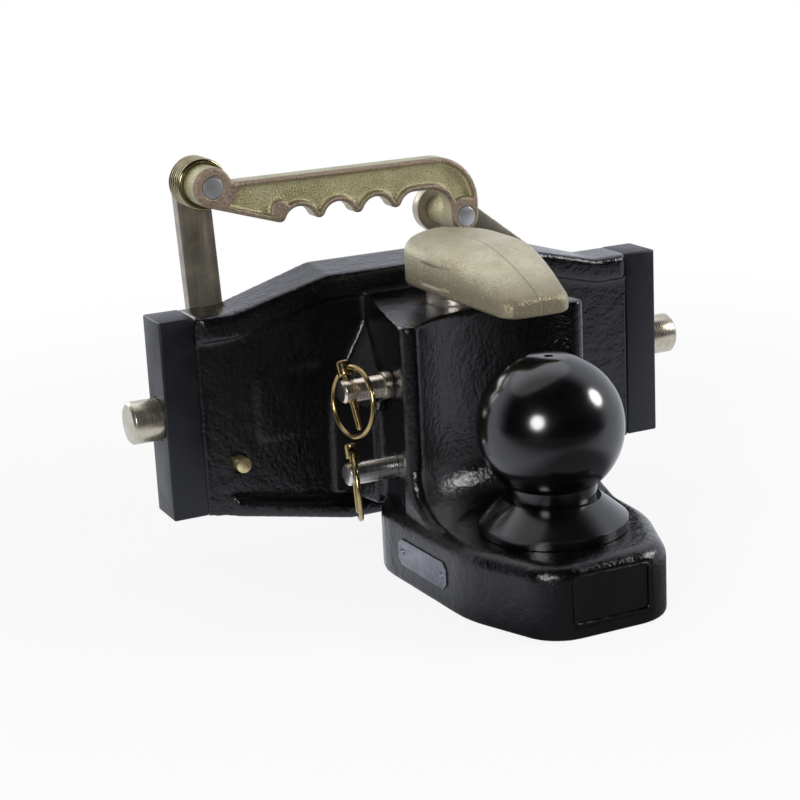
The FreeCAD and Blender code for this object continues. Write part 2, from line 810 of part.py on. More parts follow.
def make_pivot_pin(x, z, front):
    """A pivot pin held in the web, which its lever turns on."""
    end = lever_back + face_gap + clip_thickness
    return rod_y(pivot_pin_diameter / 2, x, z, front, end)


def make_clip(bore_diameter, x, z, front):
    """A retaining ring behind a lever."""
    ring = rod_y(clip_diameter / 2, x, z, front, front + clip_thickness)
    return ring.cut(rod_y(bore_diameter / 2, x, z, front - over_cut, front + clip_thickness + over_cut))


def make_drive_pin(x, z):
    """A pin fixed in a lever that reaches into its bolt's slot."""
    return rod_y(drive_pin_diameter / 2, x, z, guide_radius - bolt_slot_depth + face_gap, lever_back)


def ray(centre, radius, towards):
    """The point of a circle about the centre that lies towards another point."""
    return centre + (towards - centre).normalize() * radius


def grip_outline(inset):
    """The handle's outline, this far inside its outer edge, as smoothly joined lines and arcs."""
    left = V(handle_left_x, 0, handle_left_z)
    right = V(handle_right_x, 0, handle_right_z)
    top = grip_top - inset
    boss = handle_left_boss_radius - inset
    end = handle_right_boss_radius - inset
    fill = grip_neck_radius + inset
    rise = grip_top + grip_neck_radius - handle_left_z
    spread = math.sqrt((handle_left_boss_radius + grip_neck_radius)**2 - rise**2)
    neck = V(handle_left_x + spread, 0, grip_top + grip_neck_radius)
    elbow_radius = grip_top - (handle_right_z + handle_right_boss_radius)
    elbow_x = handle_right_x + handle_right_boss_radius - elbow_radius
    elbow = V(elbow_x, 0, grip_top - elbow_radius)
    bend = elbow_radius - inset
    sum_radius = ((grip_pitch / 2)**2 + (grip_valley - grip_cusp)**2) / (2 * (grip_valley - grip_cusp))
    hollow = sum_radius - grip_cusp_radius + inset
    tip = grip_cusp_radius - inset
    cusp_height = grip_cusp + grip_cusp_radius
    cusps = [V(grip_first_cusp + grip_pitch * i, 0, cusp_height) for i in range(grip_scallops + 1)]
    valley_z = grip_valley - (sum_radius - grip_cusp_radius)
    valleys = [V(cusp.x + grip_pitch / 2, 0, valley_z) for cusp in cusps]
    throat_x = handle_right_x - handle_right_boss_radius - grip_throat_radius
    throat = V(throat_x, 0, grip_valley - grip_throat_radius)
    wide = grip_throat_radius + inset
    diagonal = math.sqrt(0.5)
    down = V(0, 0, -1)

    reach = cusps[0] - left
    heading = math.atan2(reach.z, reach.x) + math.asin((boss - tip) / reach.Length)
    normal = V(math.sin(heading), 0, -math.cos(heading))
    neck_touch = ray(left, boss, neck)
    underside = left + normal * boss
    first = cusps[0] + normal * tip
    edges = [
        Part.LineSegment(V(neck.x, 0, top), V(elbow.x, 0, top)).toShape(),
        Part.Arc(
            V(elbow.x, 0, top),
            elbow + V(bend * diagonal, 0, bend * diagonal),
            elbow + V(bend, 0, 0),
        ).toShape(),
        Part.LineSegment(elbow + V(bend, 0, 0), right + V(end, 0, 0)).toShape(),
        Part.Arc(right + V(end, 0, 0), right + down * end, right - V(end, 0, 0)).toShape(),
        Part.LineSegment(right - V(end, 0, 0), throat + V(wide, 0, 0)).toShape(),
        Part.Arc(
            throat + V(wide, 0, 0),
            throat + V(wide * diagonal, 0, wide * diagonal),
            throat - down * wide,
        ).toShape(),
        Part.LineSegment(throat - down * wide, valleys[-1] - down * hollow).toShape(),
    ]
    last = valleys[-1] - down * hollow
    for cusp, valley in zip(cusps[:0:-1], valleys[::-1]):
        touch = ray(cusp, tip, valley)
        crest = (last - valley).normalize() + (touch - valley).normalize()
        edges.append(Part.Arc(last, valley + crest.normalize() * hollow, touch).toShape())
        last = ray(cusp, tip, valleys[valleys.index(valley) - 1])
        edges.append(Part.Arc(touch, cusp + down * tip, last).toShape())
    touch = ray(cusps[0], tip, valleys[0])
    edges.append(Part.Arc(last, valleys[0] - down * hollow, touch).toShape())
    edges.append(Part.Arc(touch, ray(cusps[0], tip, cusps[0] + down + normal), first).toShape())
    edges.append(Part.LineSegment(first, underside).toShape())
    edges.append(Part.Arc(underside, left - V(boss, 0, 0), neck_touch).toShape())
    neck_top = V(neck.x, 0, top)
    edges.append(Part.Arc(neck_touch, ray(neck, fill, (neck_touch + neck_top) * 0.5), neck_top).toShape())
    return Part.Face(Part.Wire(edges))


def make_handle_grip():
    """The cast handle: a finger grip with a raised rim, and two bosses that reach back to the levers."""
    grip = along_y(grip_outline(0), handle_thickness)
    rims = edges_where(grip, lambda p: p.y < hair)
    rims += edges_where(grip, lambda p: p.y > handle_thickness - hair)
    grip = grip.makeFillet(grip_edge_radius, rims)
    recess = along_y(grip_outline(grip_rim), grip_recess_depth + over_cut)
    keep = handle_thickness
    lands = [
        rod_y(handle_left_boss_radius + grip_boss_land, handle_left_x, handle_left_z, -keep, keep),
        rod_y(handle_right_boss_radius + grip_boss_land, handle_right_x, handle_right_z, -keep, keep),
        rod_y(grip_stub_radius, grip_first_cusp, grip_cusp + grip_stub_rise, -keep, keep),
    ]
    recess = recess.cut(lands)
    front = recess.copy()
    front.translate(V(0, -over_cut, 0))
    back = recess.copy()
    back.translate(V(0, handle_thickness - grip_recess_depth, 0))
    grip = grip.cut([front, back])
    grip.translate(V(0, handle_y, 0))
    half = handle_y + handle_thickness / 2
    hubs = [
        rod_y(handle_left_boss_radius, handle_left_x, handle_left_z, half, web_back),
        rod_y(handle_right_boss_radius, handle_right_x, handle_right_z, half, web_back),
    ]
    start = handle_y - over_cut
    stop = web_back + over_cut
    holes = [
        rod_y(handle_pin_diameter / 2 + running_clearance, handle_left_x, handle_left_z, start, stop),
        rod_y(handle_pin_diameter / 2, handle_right_x, handle_right_z, start, stop),
    ]
    return grip.fuse(hubs).cut(holes).removeSplitter()


def make_handle_spring():
    """The coiled torsion spring round the handle's left hub."""
    length = web_back - handle_back - 2 * face_gap
    outside = handle_left_boss_radius + face_gap + handle_spring_wire
    spring = coil(outside, handle_spring_wire, handle_spring_turns, length)
    start = V(handle_left_x, handle_back + face_gap, handle_left_z)
    spring.Placement = FreeCAD.Placement(start, FreeCAD.Rotation(V(0, 0, 1), V(0, 1, 0)))
    return spring


def make_parts():
    """Every sub-part of the coupling by its node's name."""
    upper = (clevis_upper_height, upper_linch_lean, upper_linch_turn)
    lower = (clevis_lower_height, lower_linch_lean, lower_linch_turn)
    clip_front = lever_back + face_gap
    return {
        "carriage_body": make_carriage_body(),
        "coupling_ball": make_coupling_ball(),
        "ball_washer": make_ball_washer(),
        "ball_nut": make_ball_nut(),
        "hold_down": make_hold_down(),
        "upper_clevis_pin": make_clevis_pin(clevis_upper_height, upper_linch_lean, True),
        "lower_clevis_pin": make_clevis_pin(clevis_lower_height, lower_linch_lean, False),
        "upper_linch_pin": make_linch_pin(*upper),
        "lower_linch_pin": make_linch_pin(*lower),
        "upper_linch_ring": make_linch_ring(*upper),
        "lower_linch_ring": make_linch_ring(*lower),
        "left_lock_bolt": make_lock_bolt(-1, left_drive_x),
        "right_lock_bolt": make_lock_bolt(1, right_drive_x),
        "left_bolt_spring": make_bolt_spring(-1),
        "right_bolt_spring": make_bolt_spring(1),
        "left_lever": make_left_lever(),
        "right_lever": make_right_lever(),
        "left_pivot_pin": make_pivot_pin(left_pivot_x, left_pivot_z, web_front - pivot_pin_stand_out),
        "right_pivot_pin": make_pivot_pin(
            right_pivot_x, right_pivot_z, web_back - blind_pin_depth + face_gap
        ),
        "left_pivot_clip": make_clip(pivot_pin_diameter, left_pivot_x, left_pivot_z, clip_front),
        "right_pivot_clip": make_clip(pivot_pin_diameter, right_pivot_x, right_pivot_z, clip_front),
        "left_drive_pin": make_drive_pin(left_drive_x, left_drive_z),
        "right_drive_pin": make_drive_pin(right_drive_x, right_drive_z),
        "handle_grip": make_handle_grip(),
        "handle_left_pin": rod_y(
            handle_pin_diameter / 2, handle_left_x, handle_left_z, handle_y, lever_back + clip_thickness
        ),
        "handle_left_clip": make_clip(handle_pin_diameter, handle_left_x, handle_left_z, lever_back),
        "handle_right_pin": rod_y(
            handle_pin_diameter / 2, handle_right_x, handle_right_z, handle_y, web_back
        ),
        "handle_right_stud": rod_y(
            handle_pin_diameter / 2, handle_right_x, handle_right_z, lever_front, lever_back + clip_thickness
        ),
        "handle_right_clip": make_clip(handle_pin_diameter, handle_right_x, handle_right_z, lever_back),
        "handle_spring": make_handle_spring(),
    }


def main():
    """Build every sub-part and write it to its own file."""
    os.makedirs("parts", exist_ok=True)
    for name, shape in make_parts().items():
        shape.exportStep("parts/" + name + ".step")
        print(name, len(shape.Solids), shape.isValid(), round(shape.Volume))


main()
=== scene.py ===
"""Dress the tractor ball coupling: painted castings, plated steel, a bare nameplate and a white studio."""

import json
import logging
import math
from dataclasses import dataclass
from enum import Enum
from typing import Callable, ClassVar, Sequence

import bmesh
import bpy
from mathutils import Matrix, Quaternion, Vector

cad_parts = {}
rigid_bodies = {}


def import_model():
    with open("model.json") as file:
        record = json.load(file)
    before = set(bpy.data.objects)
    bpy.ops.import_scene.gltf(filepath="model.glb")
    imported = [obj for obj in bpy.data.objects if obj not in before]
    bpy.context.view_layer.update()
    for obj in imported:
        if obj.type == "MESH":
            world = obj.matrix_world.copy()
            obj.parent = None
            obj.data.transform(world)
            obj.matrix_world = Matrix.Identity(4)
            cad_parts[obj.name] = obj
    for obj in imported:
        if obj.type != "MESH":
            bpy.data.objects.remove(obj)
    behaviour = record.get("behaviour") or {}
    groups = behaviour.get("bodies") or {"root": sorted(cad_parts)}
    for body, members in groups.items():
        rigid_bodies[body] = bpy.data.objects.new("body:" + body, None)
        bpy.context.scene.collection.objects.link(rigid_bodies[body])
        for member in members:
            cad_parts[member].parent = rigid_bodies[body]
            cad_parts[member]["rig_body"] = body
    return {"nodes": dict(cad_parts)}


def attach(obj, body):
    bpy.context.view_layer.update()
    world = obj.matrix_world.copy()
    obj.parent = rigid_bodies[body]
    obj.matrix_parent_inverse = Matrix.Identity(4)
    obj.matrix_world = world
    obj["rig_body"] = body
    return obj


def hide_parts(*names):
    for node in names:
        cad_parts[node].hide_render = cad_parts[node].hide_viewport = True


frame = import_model()

log = logging.getLogger("coupling")

MM = 0.001
MERGE_DISTANCE = 0.002 * MM
SAME_PLACE_MM = 0.01
OVER_CUT_MM = 1.0
FLAT_ANGLE = math.radians(0.6)
CREASE_ANGLE = math.radians(32.0)
BROKEN_EDGE_STEPS = 2
DRILL_SIDES = 64
CAST_RELAX = 0.5
SEAM_CORE = 0.25

Colour = tuple[float, float, float]
Point = tuple[float, float, float]
Pair = tuple[float, float]
Socket = bpy.types.NodeSocket
Tint = Colour | Socket
Piece = bpy.types.Object
Element = bmesh.types.BMVert | bmesh.types.BMEdge

WHITE: Colour = (1.0, 1.0, 1.0)


def tone(red: float, green: float, blue: float) -> Colour:
    """Turn a colour as it looks on screen into the shader's linear values.

    Args:
        red: Red as displayed, 0 to 255.
        green: Green as displayed, 0 to 255.
        blue: Blue as displayed, 0 to 255.

    Returns:
        The linear red, green and blue, 0 to 1.
    """
    def linear(value: float) -> float:
        """One displayed value on the linear scale, by the sRGB curve."""
        share = value / 255.0
        return share / 12.92 if share <= 0.04045 else ((share + 0.055) / 1.055) ** 2.4

    return linear(red), linear(green), linear(blue)


def dimmed(colour: Colour, share: float) -> Colour:
    """A colour at a share of its brightness."""
    return tuple(share * value for value in colour)


class Slot(Enum):
    """The record's material slots."""

    BLACK_PAINT = "black_paint"
    BALL_BLACK = "ball_black"
    HOLD_DOWN_ZINC = "hold_down_zinc"
    HANDLE_ZINC = "handle_zinc"
    LEVER_ZINC = "lever_zinc"
    BOLT_ZINC = "bolt_zinc"
    PIN_ZINC = "pin_zinc"
    PIN_STEEL = "pin_steel"
    GOLD_WIRE = "gold_wire"
    SPRING_STEEL = "spring_steel"


class Axis(Enum):
    """An axis of the CAD frame."""

    X = 0
    Y = 1
    Z = 2


class Coordinates(Enum):
    """The coordinates that a node tree's patterns lie on."""

    OBJECT = "Object"
    GENERATED = "Generated"


class Mixed(Enum):
    """What a Mix node mixes, with the type of its sockets."""

    COLOURS = ("RGBA", "RGBA")
    VALUES = ("FLOAT", "VALUE")


class Picked(Enum):
    """The elements of a mesh that a step picks."""

    VERTICES = "verts"
    EDGES = "edges"


@dataclass(frozen=True)
class Layout:
    """Places and sizes that several sub-assemblies share, in the CAD frame."""

    floor_mm: float = -89.8
    foot_top_mm: float = -48.8
    nut_seat_mm: float = -65.8
    ball_place_mm: Pair = (0.0, -165.5)
    shank_mm: float = 22.0
    fit_mm: float = 0.05


LAYOUT = Layout()


@dataclass(frozen=True)
class Speckle:
    """A noise: the size of one feature, the finer octaves added and their weight."""

    size_mm: float
    detail: float
    rough: float


class Graph:
    """A node tree whose patterns lie on one kind of coordinates."""

    def __init__(self, tree: bpy.types.NodeTree, coordinates: Coordinates) -> None:
        """Take up a node tree.

        Args:
            tree: The tree of a material or a world.
            coordinates: What its patterns lie on.
        """
        self.tree = tree
        self.place = self.node("ShaderNodeTexCoord").outputs[coordinates.value]

    def node(self, kind: str, **settings: object) -> bpy.types.Node:
        """Add a node and set its properties.

        Args:
            kind: The node's type.
            settings: Its properties by name.

        Returns:
            The node.
        """
        made = self.tree.nodes.new(kind)
        for key, value in settings.items():
            setattr(made, key, value)
        return made

    def feed(self, target: Socket, value: object) -> None:
        """Link a socket into the target, or set the target's own value.

        Args:
            target: The socket to feed.
            value: Another socket or a plain value.
        """
        if isinstance(value, Socket):
            self.tree.links.new(value, target)
        else:
            target.default_value = value

    def stretched(self, scale: Point, shift: Point = (0.0, 0.0, 0.0)) -> Socket:
        """The place scaled by a different amount along each axis, then moved.

        Args:
            scale: The scale along each axis.
            shift: The move after it.

        Returns:
            The new coordinates.
        """
        mapping = self.node("ShaderNodeMapping")
        self.feed(mapping.inputs["Vector"], self.place)
        mapping.inputs["Scale"].default_value = scale
        mapping.inputs["Location"].default_value = shift
        return mapping.outputs["Vector"]

    def noise(self, speckle: Speckle, place: Socket | None = None) -> Socket:
        """A noise of one kind.

        Args:
            speckle: The kind of noise.
            place: Other coordinates than the tree's own.

        Returns:
            The noise's value, 0 to 1.
        """
        made = self.node("ShaderNodeTexNoise")
        self.feed(made.inputs["Vector"], place or self.place)
        made.inputs["Scale"].default_value = 1.0 / (speckle.size_mm * MM)
        made.inputs["Detail"].default_value = speckle.detail
        made.inputs["Roughness"].default_value = speckle.rough
        return made.outputs["Fac"]

    def along(self, axis: Axis) -> Socket:
        """One coordinate of the place.

        Args:
            axis: Which coordinate.

        Returns:
            Its value, in metres.
        """
        split = self.node("ShaderNodeSeparateXYZ")
        self.feed(split.inputs["Vector"], self.place)
        return split.outputs[axis.value]

    def length(self, vector: Socket) -> Socket:
        """The length of a vector.

        Args:
            vector: The vector's socket.

        Returns:
            Its length.
        """
        made = self.node("ShaderNodeVectorMath", operation="LENGTH")
        self.feed(made.inputs[0], vector)
        return made.outputs["Value"]

    def ahead(self, direction: Point) -> Socket:
        """How far the place lies along a direction.

        Args:
            direction: A unit vector.

        Returns:
            The distance along it.
        """
        made = self.node("ShaderNodeVectorMath", operation="DOT_PRODUCT")
        self.feed(made.inputs[0], self.place)
        made.inputs[1].default_value = direction
        return made.outputs["Value"]

    def rays(self) -> tuple[Socket, Socket]:
        """Tell the camera's own rays from those that a mirror or glass sends on.

        Returns:
            1 for a camera ray, and 1 for a mirrored one.
        """
        path = self.node("ShaderNodeLightPath")
        mirrored = self.math("MAXIMUM", path.outputs["Is Glossy Ray"], path.outputs["Is Transmission Ray"])
        return path.outputs["Is Camera Ray"], mirrored

    def spread(
        self, value: Socket, low: float, high: float, to_low: float = 0.0, to_high: float = 1.0,
    ) -> Socket:
        """Map a stretch of values smoothly onto another.

        Args:
            value: The value to map.
            low: Where the stretch starts.
            high: Where it ends.
            to_low: What its start becomes.
            to_high: What its end becomes.

        Returns:
            The mapped value.
        """
        made = self.node("ShaderNodeMapRange", interpolation_type="SMOOTHSTEP")
        self.feed(made.inputs["Value"], value)
        made.inputs["From Min"].default_value = low
        made.inputs["From Max"].default_value = high
        made.inputs["To Min"].default_value = to_low
        made.inputs["To Max"].default_value = to_high
        return made.outputs["Result"]

    def math(self, operation: str, first: object, second: object) -> Socket:
        """Combine two values by one operation.

        Args:
            operation: The operation's name.
            first: A socket or a number.
            second: A socket or a number.

        Returns:
            The result.
        """
        made = self.node("ShaderNodeMath", operation=operation)
        self.feed(made.inputs[0], first)
        self.feed(made.inputs[1], second)
        return made.outputs[0]

    def edge(self, low: float, high: float) -> Socket:
        """How far a place lies on an outer edge of the piece, 0 to 1."""
        return self.spread(self.node("ShaderNodeNewGeometry").outputs["Pointiness"], low, high)

    def seam(self, axis: Axis, width_mm: float) -> Socket:
        """A thin line where the coordinate along the axis is nought, 0 to 1."""
        away = self.math("ABSOLUTE", self.along(axis), 0.0)
        return self.spread(away, SEAM_CORE * width_mm * MM, width_mm * MM, 1.0, 0.0)

    def mix(self, kind: Mixed, share: Socket, first: object, second: object) -> Socket:
        """Mix two colours or two values.

        Args:
            kind: What is mixed.
            share: The share of the second, 0 to 1.
            first: A socket or a plain value.
            second: A socket or a plain value.

        Returns:
            The mixture.
        """
        data_type, socket_type = kind.value
        made = self.node("ShaderNodeMix", data_type=data_type)
        self.feed(made.inputs["Factor"], share)
        ends = [socket for socket in made.inputs if socket.name in ("A", "B") and socket.type == socket_type]
        for target, value in zip(ends, (first, second)):
            self.feed(target, value)
        return next(socket for socket in made.outputs if socket.type == socket_type)

    def blend(self, share: Socket, first: Tint, second: Tint) -> Socket:
        """Mix two colours by a share."""
        ends = (value if isinstance(value, Socket) else (*value, 1.0) for value in (first, second))
        return self.mix(Mixed.COLOURS, share, *ends)

    def bump(self, height: Socket, height_mm: float, under: Socket | None = None) -> Socket:
        """A bump of this height, on top of another one if given.

        Args:
            height: The height field, 0 to 1.
            height_mm: The height of the field's full span.
            under: The normal of a bump below this one.

        Returns:
            The bumped normal.
        """
        made = self.node("ShaderNodeBump")
        made.inputs["Strength"].default_value = 1.0
        made.inputs["Distance"].default_value = height_mm * MM
        self.feed(made.inputs["Height"], height)
        if under is not None:
            self.feed(made.inputs["Normal"], under)
        return made.outputs["Normal"]


class MaterialGraph(Graph):
    """One material's nodes, laid on Object coordinates."""

    def __init__(self, name: str) -> None:
        """Start a material with a bare Principled shader.

        Args:
            name: The material's name.
        """
        self.material = bpy.data.materials.new(name)
        self.material.use_nodes = True
        super().__init__(self.material.node_tree, Coordinates.OBJECT)
        self.shader = self.tree.nodes["Principled BSDF"]

    def finish(self, **sockets: object) -> bpy.types.Material:
        """Feed the Principled shader.

        Args:
            sockets: What each of its sockets takes, named with _ for a space.

        Returns:
            The finished material.
        """
        for key, value in sockets.items():
            self.feed(self.shader.inputs[key.replace("_", " ")], value)
        return self.material


@dataclass(frozen=True)
class Finish:
    """A surface finish that can make its own material."""

    name: str
    slot: Slot

    def dress(self, graph: MaterialGraph) -> bpy.types.Material:
        """Build the material's nodes."""
        raise NotImplementedError

    def material(self) -> bpy.types.Material:
        """The finish's material, built on first use."""
        return bpy.data.materials.get(self.name) or self.dress(MaterialGraph(self.name))


@dataclass(frozen=True)
class CastPaint(Finish):
    """Glossy paint over an as-cast surface."""

    colour: Colour
    dusty: Colour
    lumps: Speckle = Speckle(9.0, 3.0, 0.5)
    lump_height_mm: float = 0.6
    grain: Speckle = Speckle(2.4, 4.0, 0.6)
    grain_height_mm: float = 0.4
    grain_span: Pair = (0.3, 0.75)
    patches: Speckle = Speckle(26.0, 3.0, 0.5)
    patch_span: Pair = (0.35, 0.75)
    roughness: Pair = (0.1, 0.24)
    level: float = 0.5

    def dress(self, graph: MaterialGraph) -> bpy.types.Material:
        """Make it glossy on the lumps of the casting and duller in its grain.

        Args:
            graph: The material's bare nodes.

        Returns:
            The material.
        """
        lumps = graph.bump(graph.noise(self.lumps), self.lump_height_mm)
        grain = graph.noise(self.grain)
        patches = graph.spread(graph.noise(self.patches), *self.patch_span)
        return graph.finish(
            Base_Color=graph.blend(patches, self.colour, self.dusty),
            Roughness=graph.spread(grain, *self.grain_span, *self.roughness),
            Specular_IOR_Level=self.level,
            Normal=graph.bump(grain, self.grain_height_mm, lumps),
        )


@dataclass(frozen=True)
class SmoothPaint(Finish):
    """Paint over a machined surface, from satin to a mirror gloss."""

    colour: Colour
    roughness: Pair
    peel: Speckle
    peel_height_mm: float
    level: float
    patches: Speckle = Speckle(18.0, 4.0, 0.6)
    patch_span: Pair = (0.3, 0.8)
    gloss_span: Pair = (0.25, 0.75)
    lighter_gain: float = 1.7
    lighter_lift: float = 0.002

    def dress(self, graph: MaterialGraph) -> bpy.types.Material:
        """Make an even coat with a faint orange peel and slow changes of gloss.

        Args:
            graph: The material's bare nodes.

        Returns:
            The material.
        """
        peel = graph.noise(self.peel)
        patches = graph.noise(self.patches)
        lighter = tuple(value * self.lighter_gain + self.lighter_lift for value in self.colour)
        return graph.finish(
            Base_Color=graph.blend(graph.spread(patches, *self.patch_span), self.colour, lighter),
            Roughness=graph.spread(patches, *self.gloss_span, *self.roughness),
            Specular_IOR_Level=self.level,
            Normal=graph.bump(peel, self.peel_height_mm),
        )


@dataclass(frozen=True)
class CastZinc(Finish):
    """Passivated zinc plating over a casting, with a darker tone towards the low end of a depth axis, worn
    edges and painted glints.
    """

    face: Colour
    stain: Colour
    # On the hold-down head the rim tone is painted shade: the lower flank turns darker than the lit top.
    rim: Colour
    # Used for the rubbed edges, which are wear, and for the bright flecks, which are painted glints.
    wear_and_glint: Colour
    depth_axis: Axis
    rim_depth_mm: Pair
    grain: Speckle
    grain_height_mm: float
    roughness: Pair
    metallic: float
    pitted: float
    worn_edge: Pair = (0.53, 0.6)
    seam_mm: float = 0.0
    seam_share: float = 0.45
    seam_tone: float = 0.4
    seam_height_mm: float = 0.35
    clouds: Speckle = Speckle(16.0, 4.0, 0.6)
    cloud_span: Pair = (0.32, 0.7)
    flecks: Speckle = Speckle(2.4, 3.0, 0.6)
    fleck_span: Pair = (0.55, 0.8)
    fleck_share: float = 0.35
    pit_span: Pair = (0.5, 0.3)
    pit_tone: float = 0.3
    rub_span: Pair = (0.3, 0.6)
    rub_share: Pair = (0.3, 1.0)
    grain_span: Pair = (0.3, 0.75)

    def dress(self, graph: MaterialGraph) -> bpy.types.Material:
        """Make a cloudy film with grain, a darker tone towards the low end of the depth axis (painted shade
        on the hold-down head's lower flank), painted glints and rubbed edges.

        Args:
            graph: The material's bare nodes.

        Returns:
            The material.
        """
        clouds = graph.spread(graph.noise(self.clouds), *self.cloud_span)
        flecks = graph.noise(self.flecks)
        grain = graph.noise(self.grain)
        film = graph.blend(clouds, self.face, self.stain)
        # Painted shade on the hold-down head: towards the low end of the depth span the film turns to the
        # darker rim tone.
        depth = graph.spread(graph.along(self.depth_axis), *(level * MM for level in self.rim_depth_mm))
        film = graph.blend(depth, self.rim, film)
        pits = graph.spread(grain, *self.pit_span, 0.0, self.pitted)
        film = graph.blend(pits, film, dimmed(self.stain, self.pit_tone))
        # Bright flecks in the lighter tone are painted glints.
        film = graph.blend(graph.spread(flecks, *self.fleck_span, 0.0, self.fleck_share), film, self.wear_and_glint)
        rubbed = graph.spread(flecks, *self.rub_span, *self.rub_share)
        film = graph.blend(graph.math("MULTIPLY", graph.edge(*self.worn_edge), rubbed), film, self.wear_and_glint)
        normal = graph.bump(grain, self.grain_height_mm)
        if self.seam_mm > 0:
            line = graph.seam(Axis.X, self.seam_mm)
            shown = graph.math("MULTIPLY", line, self.seam_share)
            film = graph.blend(shown, film, dimmed(self.stain, self.seam_tone))
            normal = graph.bump(line, self.seam_height_mm, normal)
        return graph.finish(
            Base_Color=film,
            Metallic=self.metallic,
            Roughness=graph.spread(grain, *self.grain_span, *self.roughness),
            Normal=normal,
        )


@dataclass(frozen=True)
class LinedMetal(Finish):
    """Steel with fine lines that follow one axis, and a cloudy tint of its plating."""

    colour: Colour
    tint: Colour
    axis: Axis
    roughness: Pair
    metallic: float
    lines: Speckle
    line_height_mm: float
    scale_along: float
    scale_across: float
    clouds: Speckle
    cloud_span: Pair
    line_span: ClassVar[Pair] = (0.25, 0.8)

    def dress(self, graph: MaterialGraph) -> bpy.types.Material:
        """Stretch a noise into lines, and lay the tint over the colour in clouds.

        Args:
            graph: The material's bare nodes.

        Returns:
            The material.
        """
        scale = tuple(self.scale_along if axis is self.axis else self.scale_across for axis in Axis)
        lines = graph.noise(self.lines, graph.stretched(scale))
        clouds = graph.spread(graph.noise(self.clouds), *self.cloud_span)
        return graph.finish(
            Base_Color=graph.blend(clouds, self.colour, self.tint),
            Metallic=self.metallic,
            Roughness=graph.spread(lines, *self.line_span, *self.roughness),
            Normal=graph.bump(lines, self.line_height_mm),
        )


@dataclass(frozen=True)
class TurnedMetal(LinedMetal):
    """Turned steel with fine tool marks round one axis."""

    roughness: Pair = (0.2, 0.36)
    metallic: float = 0.9
    lines: Speckle = Speckle(0.7, 3.0, 0.7)
    line_height_mm: float = 0.03
    scale_along: float = 1.0
    scale_across: float = 0.02
    clouds: Speckle = Speckle(6.0, 4.0, 0.6)
    cloud_span: Pair = (0.3, 0.75)


@dataclass(frozen=True)
class BrushedMetal(LinedMetal):
    """Plated bar stock with mill lines along one axis."""

    roughness: Pair = (0.3, 0.48)
    metallic: float = 0.85
    lines: Speckle = Speckle(1.2, 4.0, 0.7)
    line_height_mm: float = 0.04
    scale_along: float = 0.03
    scale_across: float = 1.0
    clouds: Speckle = Speckle(13.0, 4.0, 0.6)
    cloud_span: Pair = (0.3, 0.72)


BODY_PAINT = CastPaint("body_paint", Slot.BLACK_PAINT, tone(5, 5, 6), tone(12, 12, 14))
BAR_PAINT = SmoothPaint(
    "bar_paint", Slot.BLACK_PAINT, tone(13, 14, 19), roughness=(0.34, 0.46),
    peel=Speckle(2.2, 2.0, 0.5), peel_height_mm=0.03, level=0.4,
)
BALL_ENAMEL = SmoothPaint(
    "ball_enamel", Slot.BALL_BLACK, tone(4, 4, 5), roughness=(0.15, 0.19),
    peel=Speckle(1.1, 2.0, 0.5), peel_height_mm=0.006, level=0.8,
)
# On the head the rim tone is painted shade, darkening the flank below 74 to 90 mm height; its bright flecks
# are painted glints.
HEAD_ZINC = CastZinc(
    "head_cast_zinc", Slot.HOLD_DOWN_ZINC, face=tone(208, 202, 174), stain=tone(190, 181, 148),
    rim=tone(146, 137, 112), wear_and_glint=tone(236, 231, 212), depth_axis=Axis.Z, rim_depth_mm=(74.0, 90.0),
    grain=Speckle(1.1, 3.0, 0.6), grain_height_mm=0.5, roughness=(0.32, 0.48), metallic=0.65, pitted=0.5,
    worn_edge=(0.54, 0.62), seam_mm=0.9,
)
POST_ZINC = TurnedMetal(
    "post_zinc", Slot.HOLD_DOWN_ZINC, tone(226, 225, 212), tone(228, 206, 200), Axis.Z, (0.24, 0.4),
)
# On the grip the rim tone darkens its front rim, and its bright flecks are painted glints.
GRIP_ZINC = CastZinc(
    "grip_cast_zinc", Slot.HANDLE_ZINC, face=tone(194, 189, 148), stain=tone(168, 158, 118),
    rim=tone(152, 134, 116), wear_and_glint=tone(238, 222, 200), depth_axis=Axis.Y, rim_depth_mm=(-20.6, -18.6),
    grain=Speckle(1.0, 3.0, 0.6), grain_height_mm=0.6, roughness=(0.26, 0.44), metallic=0.6, pitted=0.7,
)
STRAP_ZINC = BrushedMetal("strap_zinc", Slot.LEVER_ZINC, tone(150, 145, 134), tone(184, 174, 154), Axis.Z)
BOLT_ZINC = TurnedMetal("bolt_turned_zinc", Slot.BOLT_ZINC, tone(206, 201, 186), tone(184, 174, 148), Axis.X)
STUD_ZINC = TurnedMetal("stud_zinc", Slot.BOLT_ZINC, tone(222, 208, 158), tone(196, 180, 132), Axis.Y)
PIN_ZINC = TurnedMetal(
    "clevis_zinc", Slot.PIN_ZINC, tone(238, 229, 213), tone(222, 204, 188), Axis.X, (0.2, 0.34), 1.0,
)
PIN_STEEL = TurnedMetal(
    "clevis_steel", Slot.PIN_STEEL, tone(218, 217, 216), tone(222, 213, 202), Axis.X, (0.2, 0.34), 1.0,
)
END_STEEL = BrushedMetal("pin_end_steel", Slot.PIN_STEEL, tone(192, 196, 200), tone(184, 180, 180), Axis.X)
NUT_STEEL = TurnedMetal("nut_steel", Slot.PIN_STEEL, tone(110, 110, 112), tone(96, 94, 90), Axis.Z)
GOLD_WIRE = TurnedMetal(
    "linch_gold", Slot.GOLD_WIRE, tone(184, 164, 116), tone(158, 134, 88), Axis.Z, (0.14, 0.26), 1.0,
)
SPRING_WIRE = TurnedMetal(
    "spring_wire", Slot.SPRING_STEEL, tone(160, 152, 120), tone(126, 116, 84), Axis.Y, (0.16, 0.28), 1.0,
)
CLIP_STEEL = TurnedMetal("clip_steel", Slot.SPRING_STEEL, tone(96, 94, 92), tone(120, 112, 96), Axis.Y)
PLATE_METAL = BrushedMetal(
    "plate_metal", Slot.PIN_STEEL, tone(144, 146, 152), tone(104, 106, 112), Axis.Y, (0.28, 0.45),
)


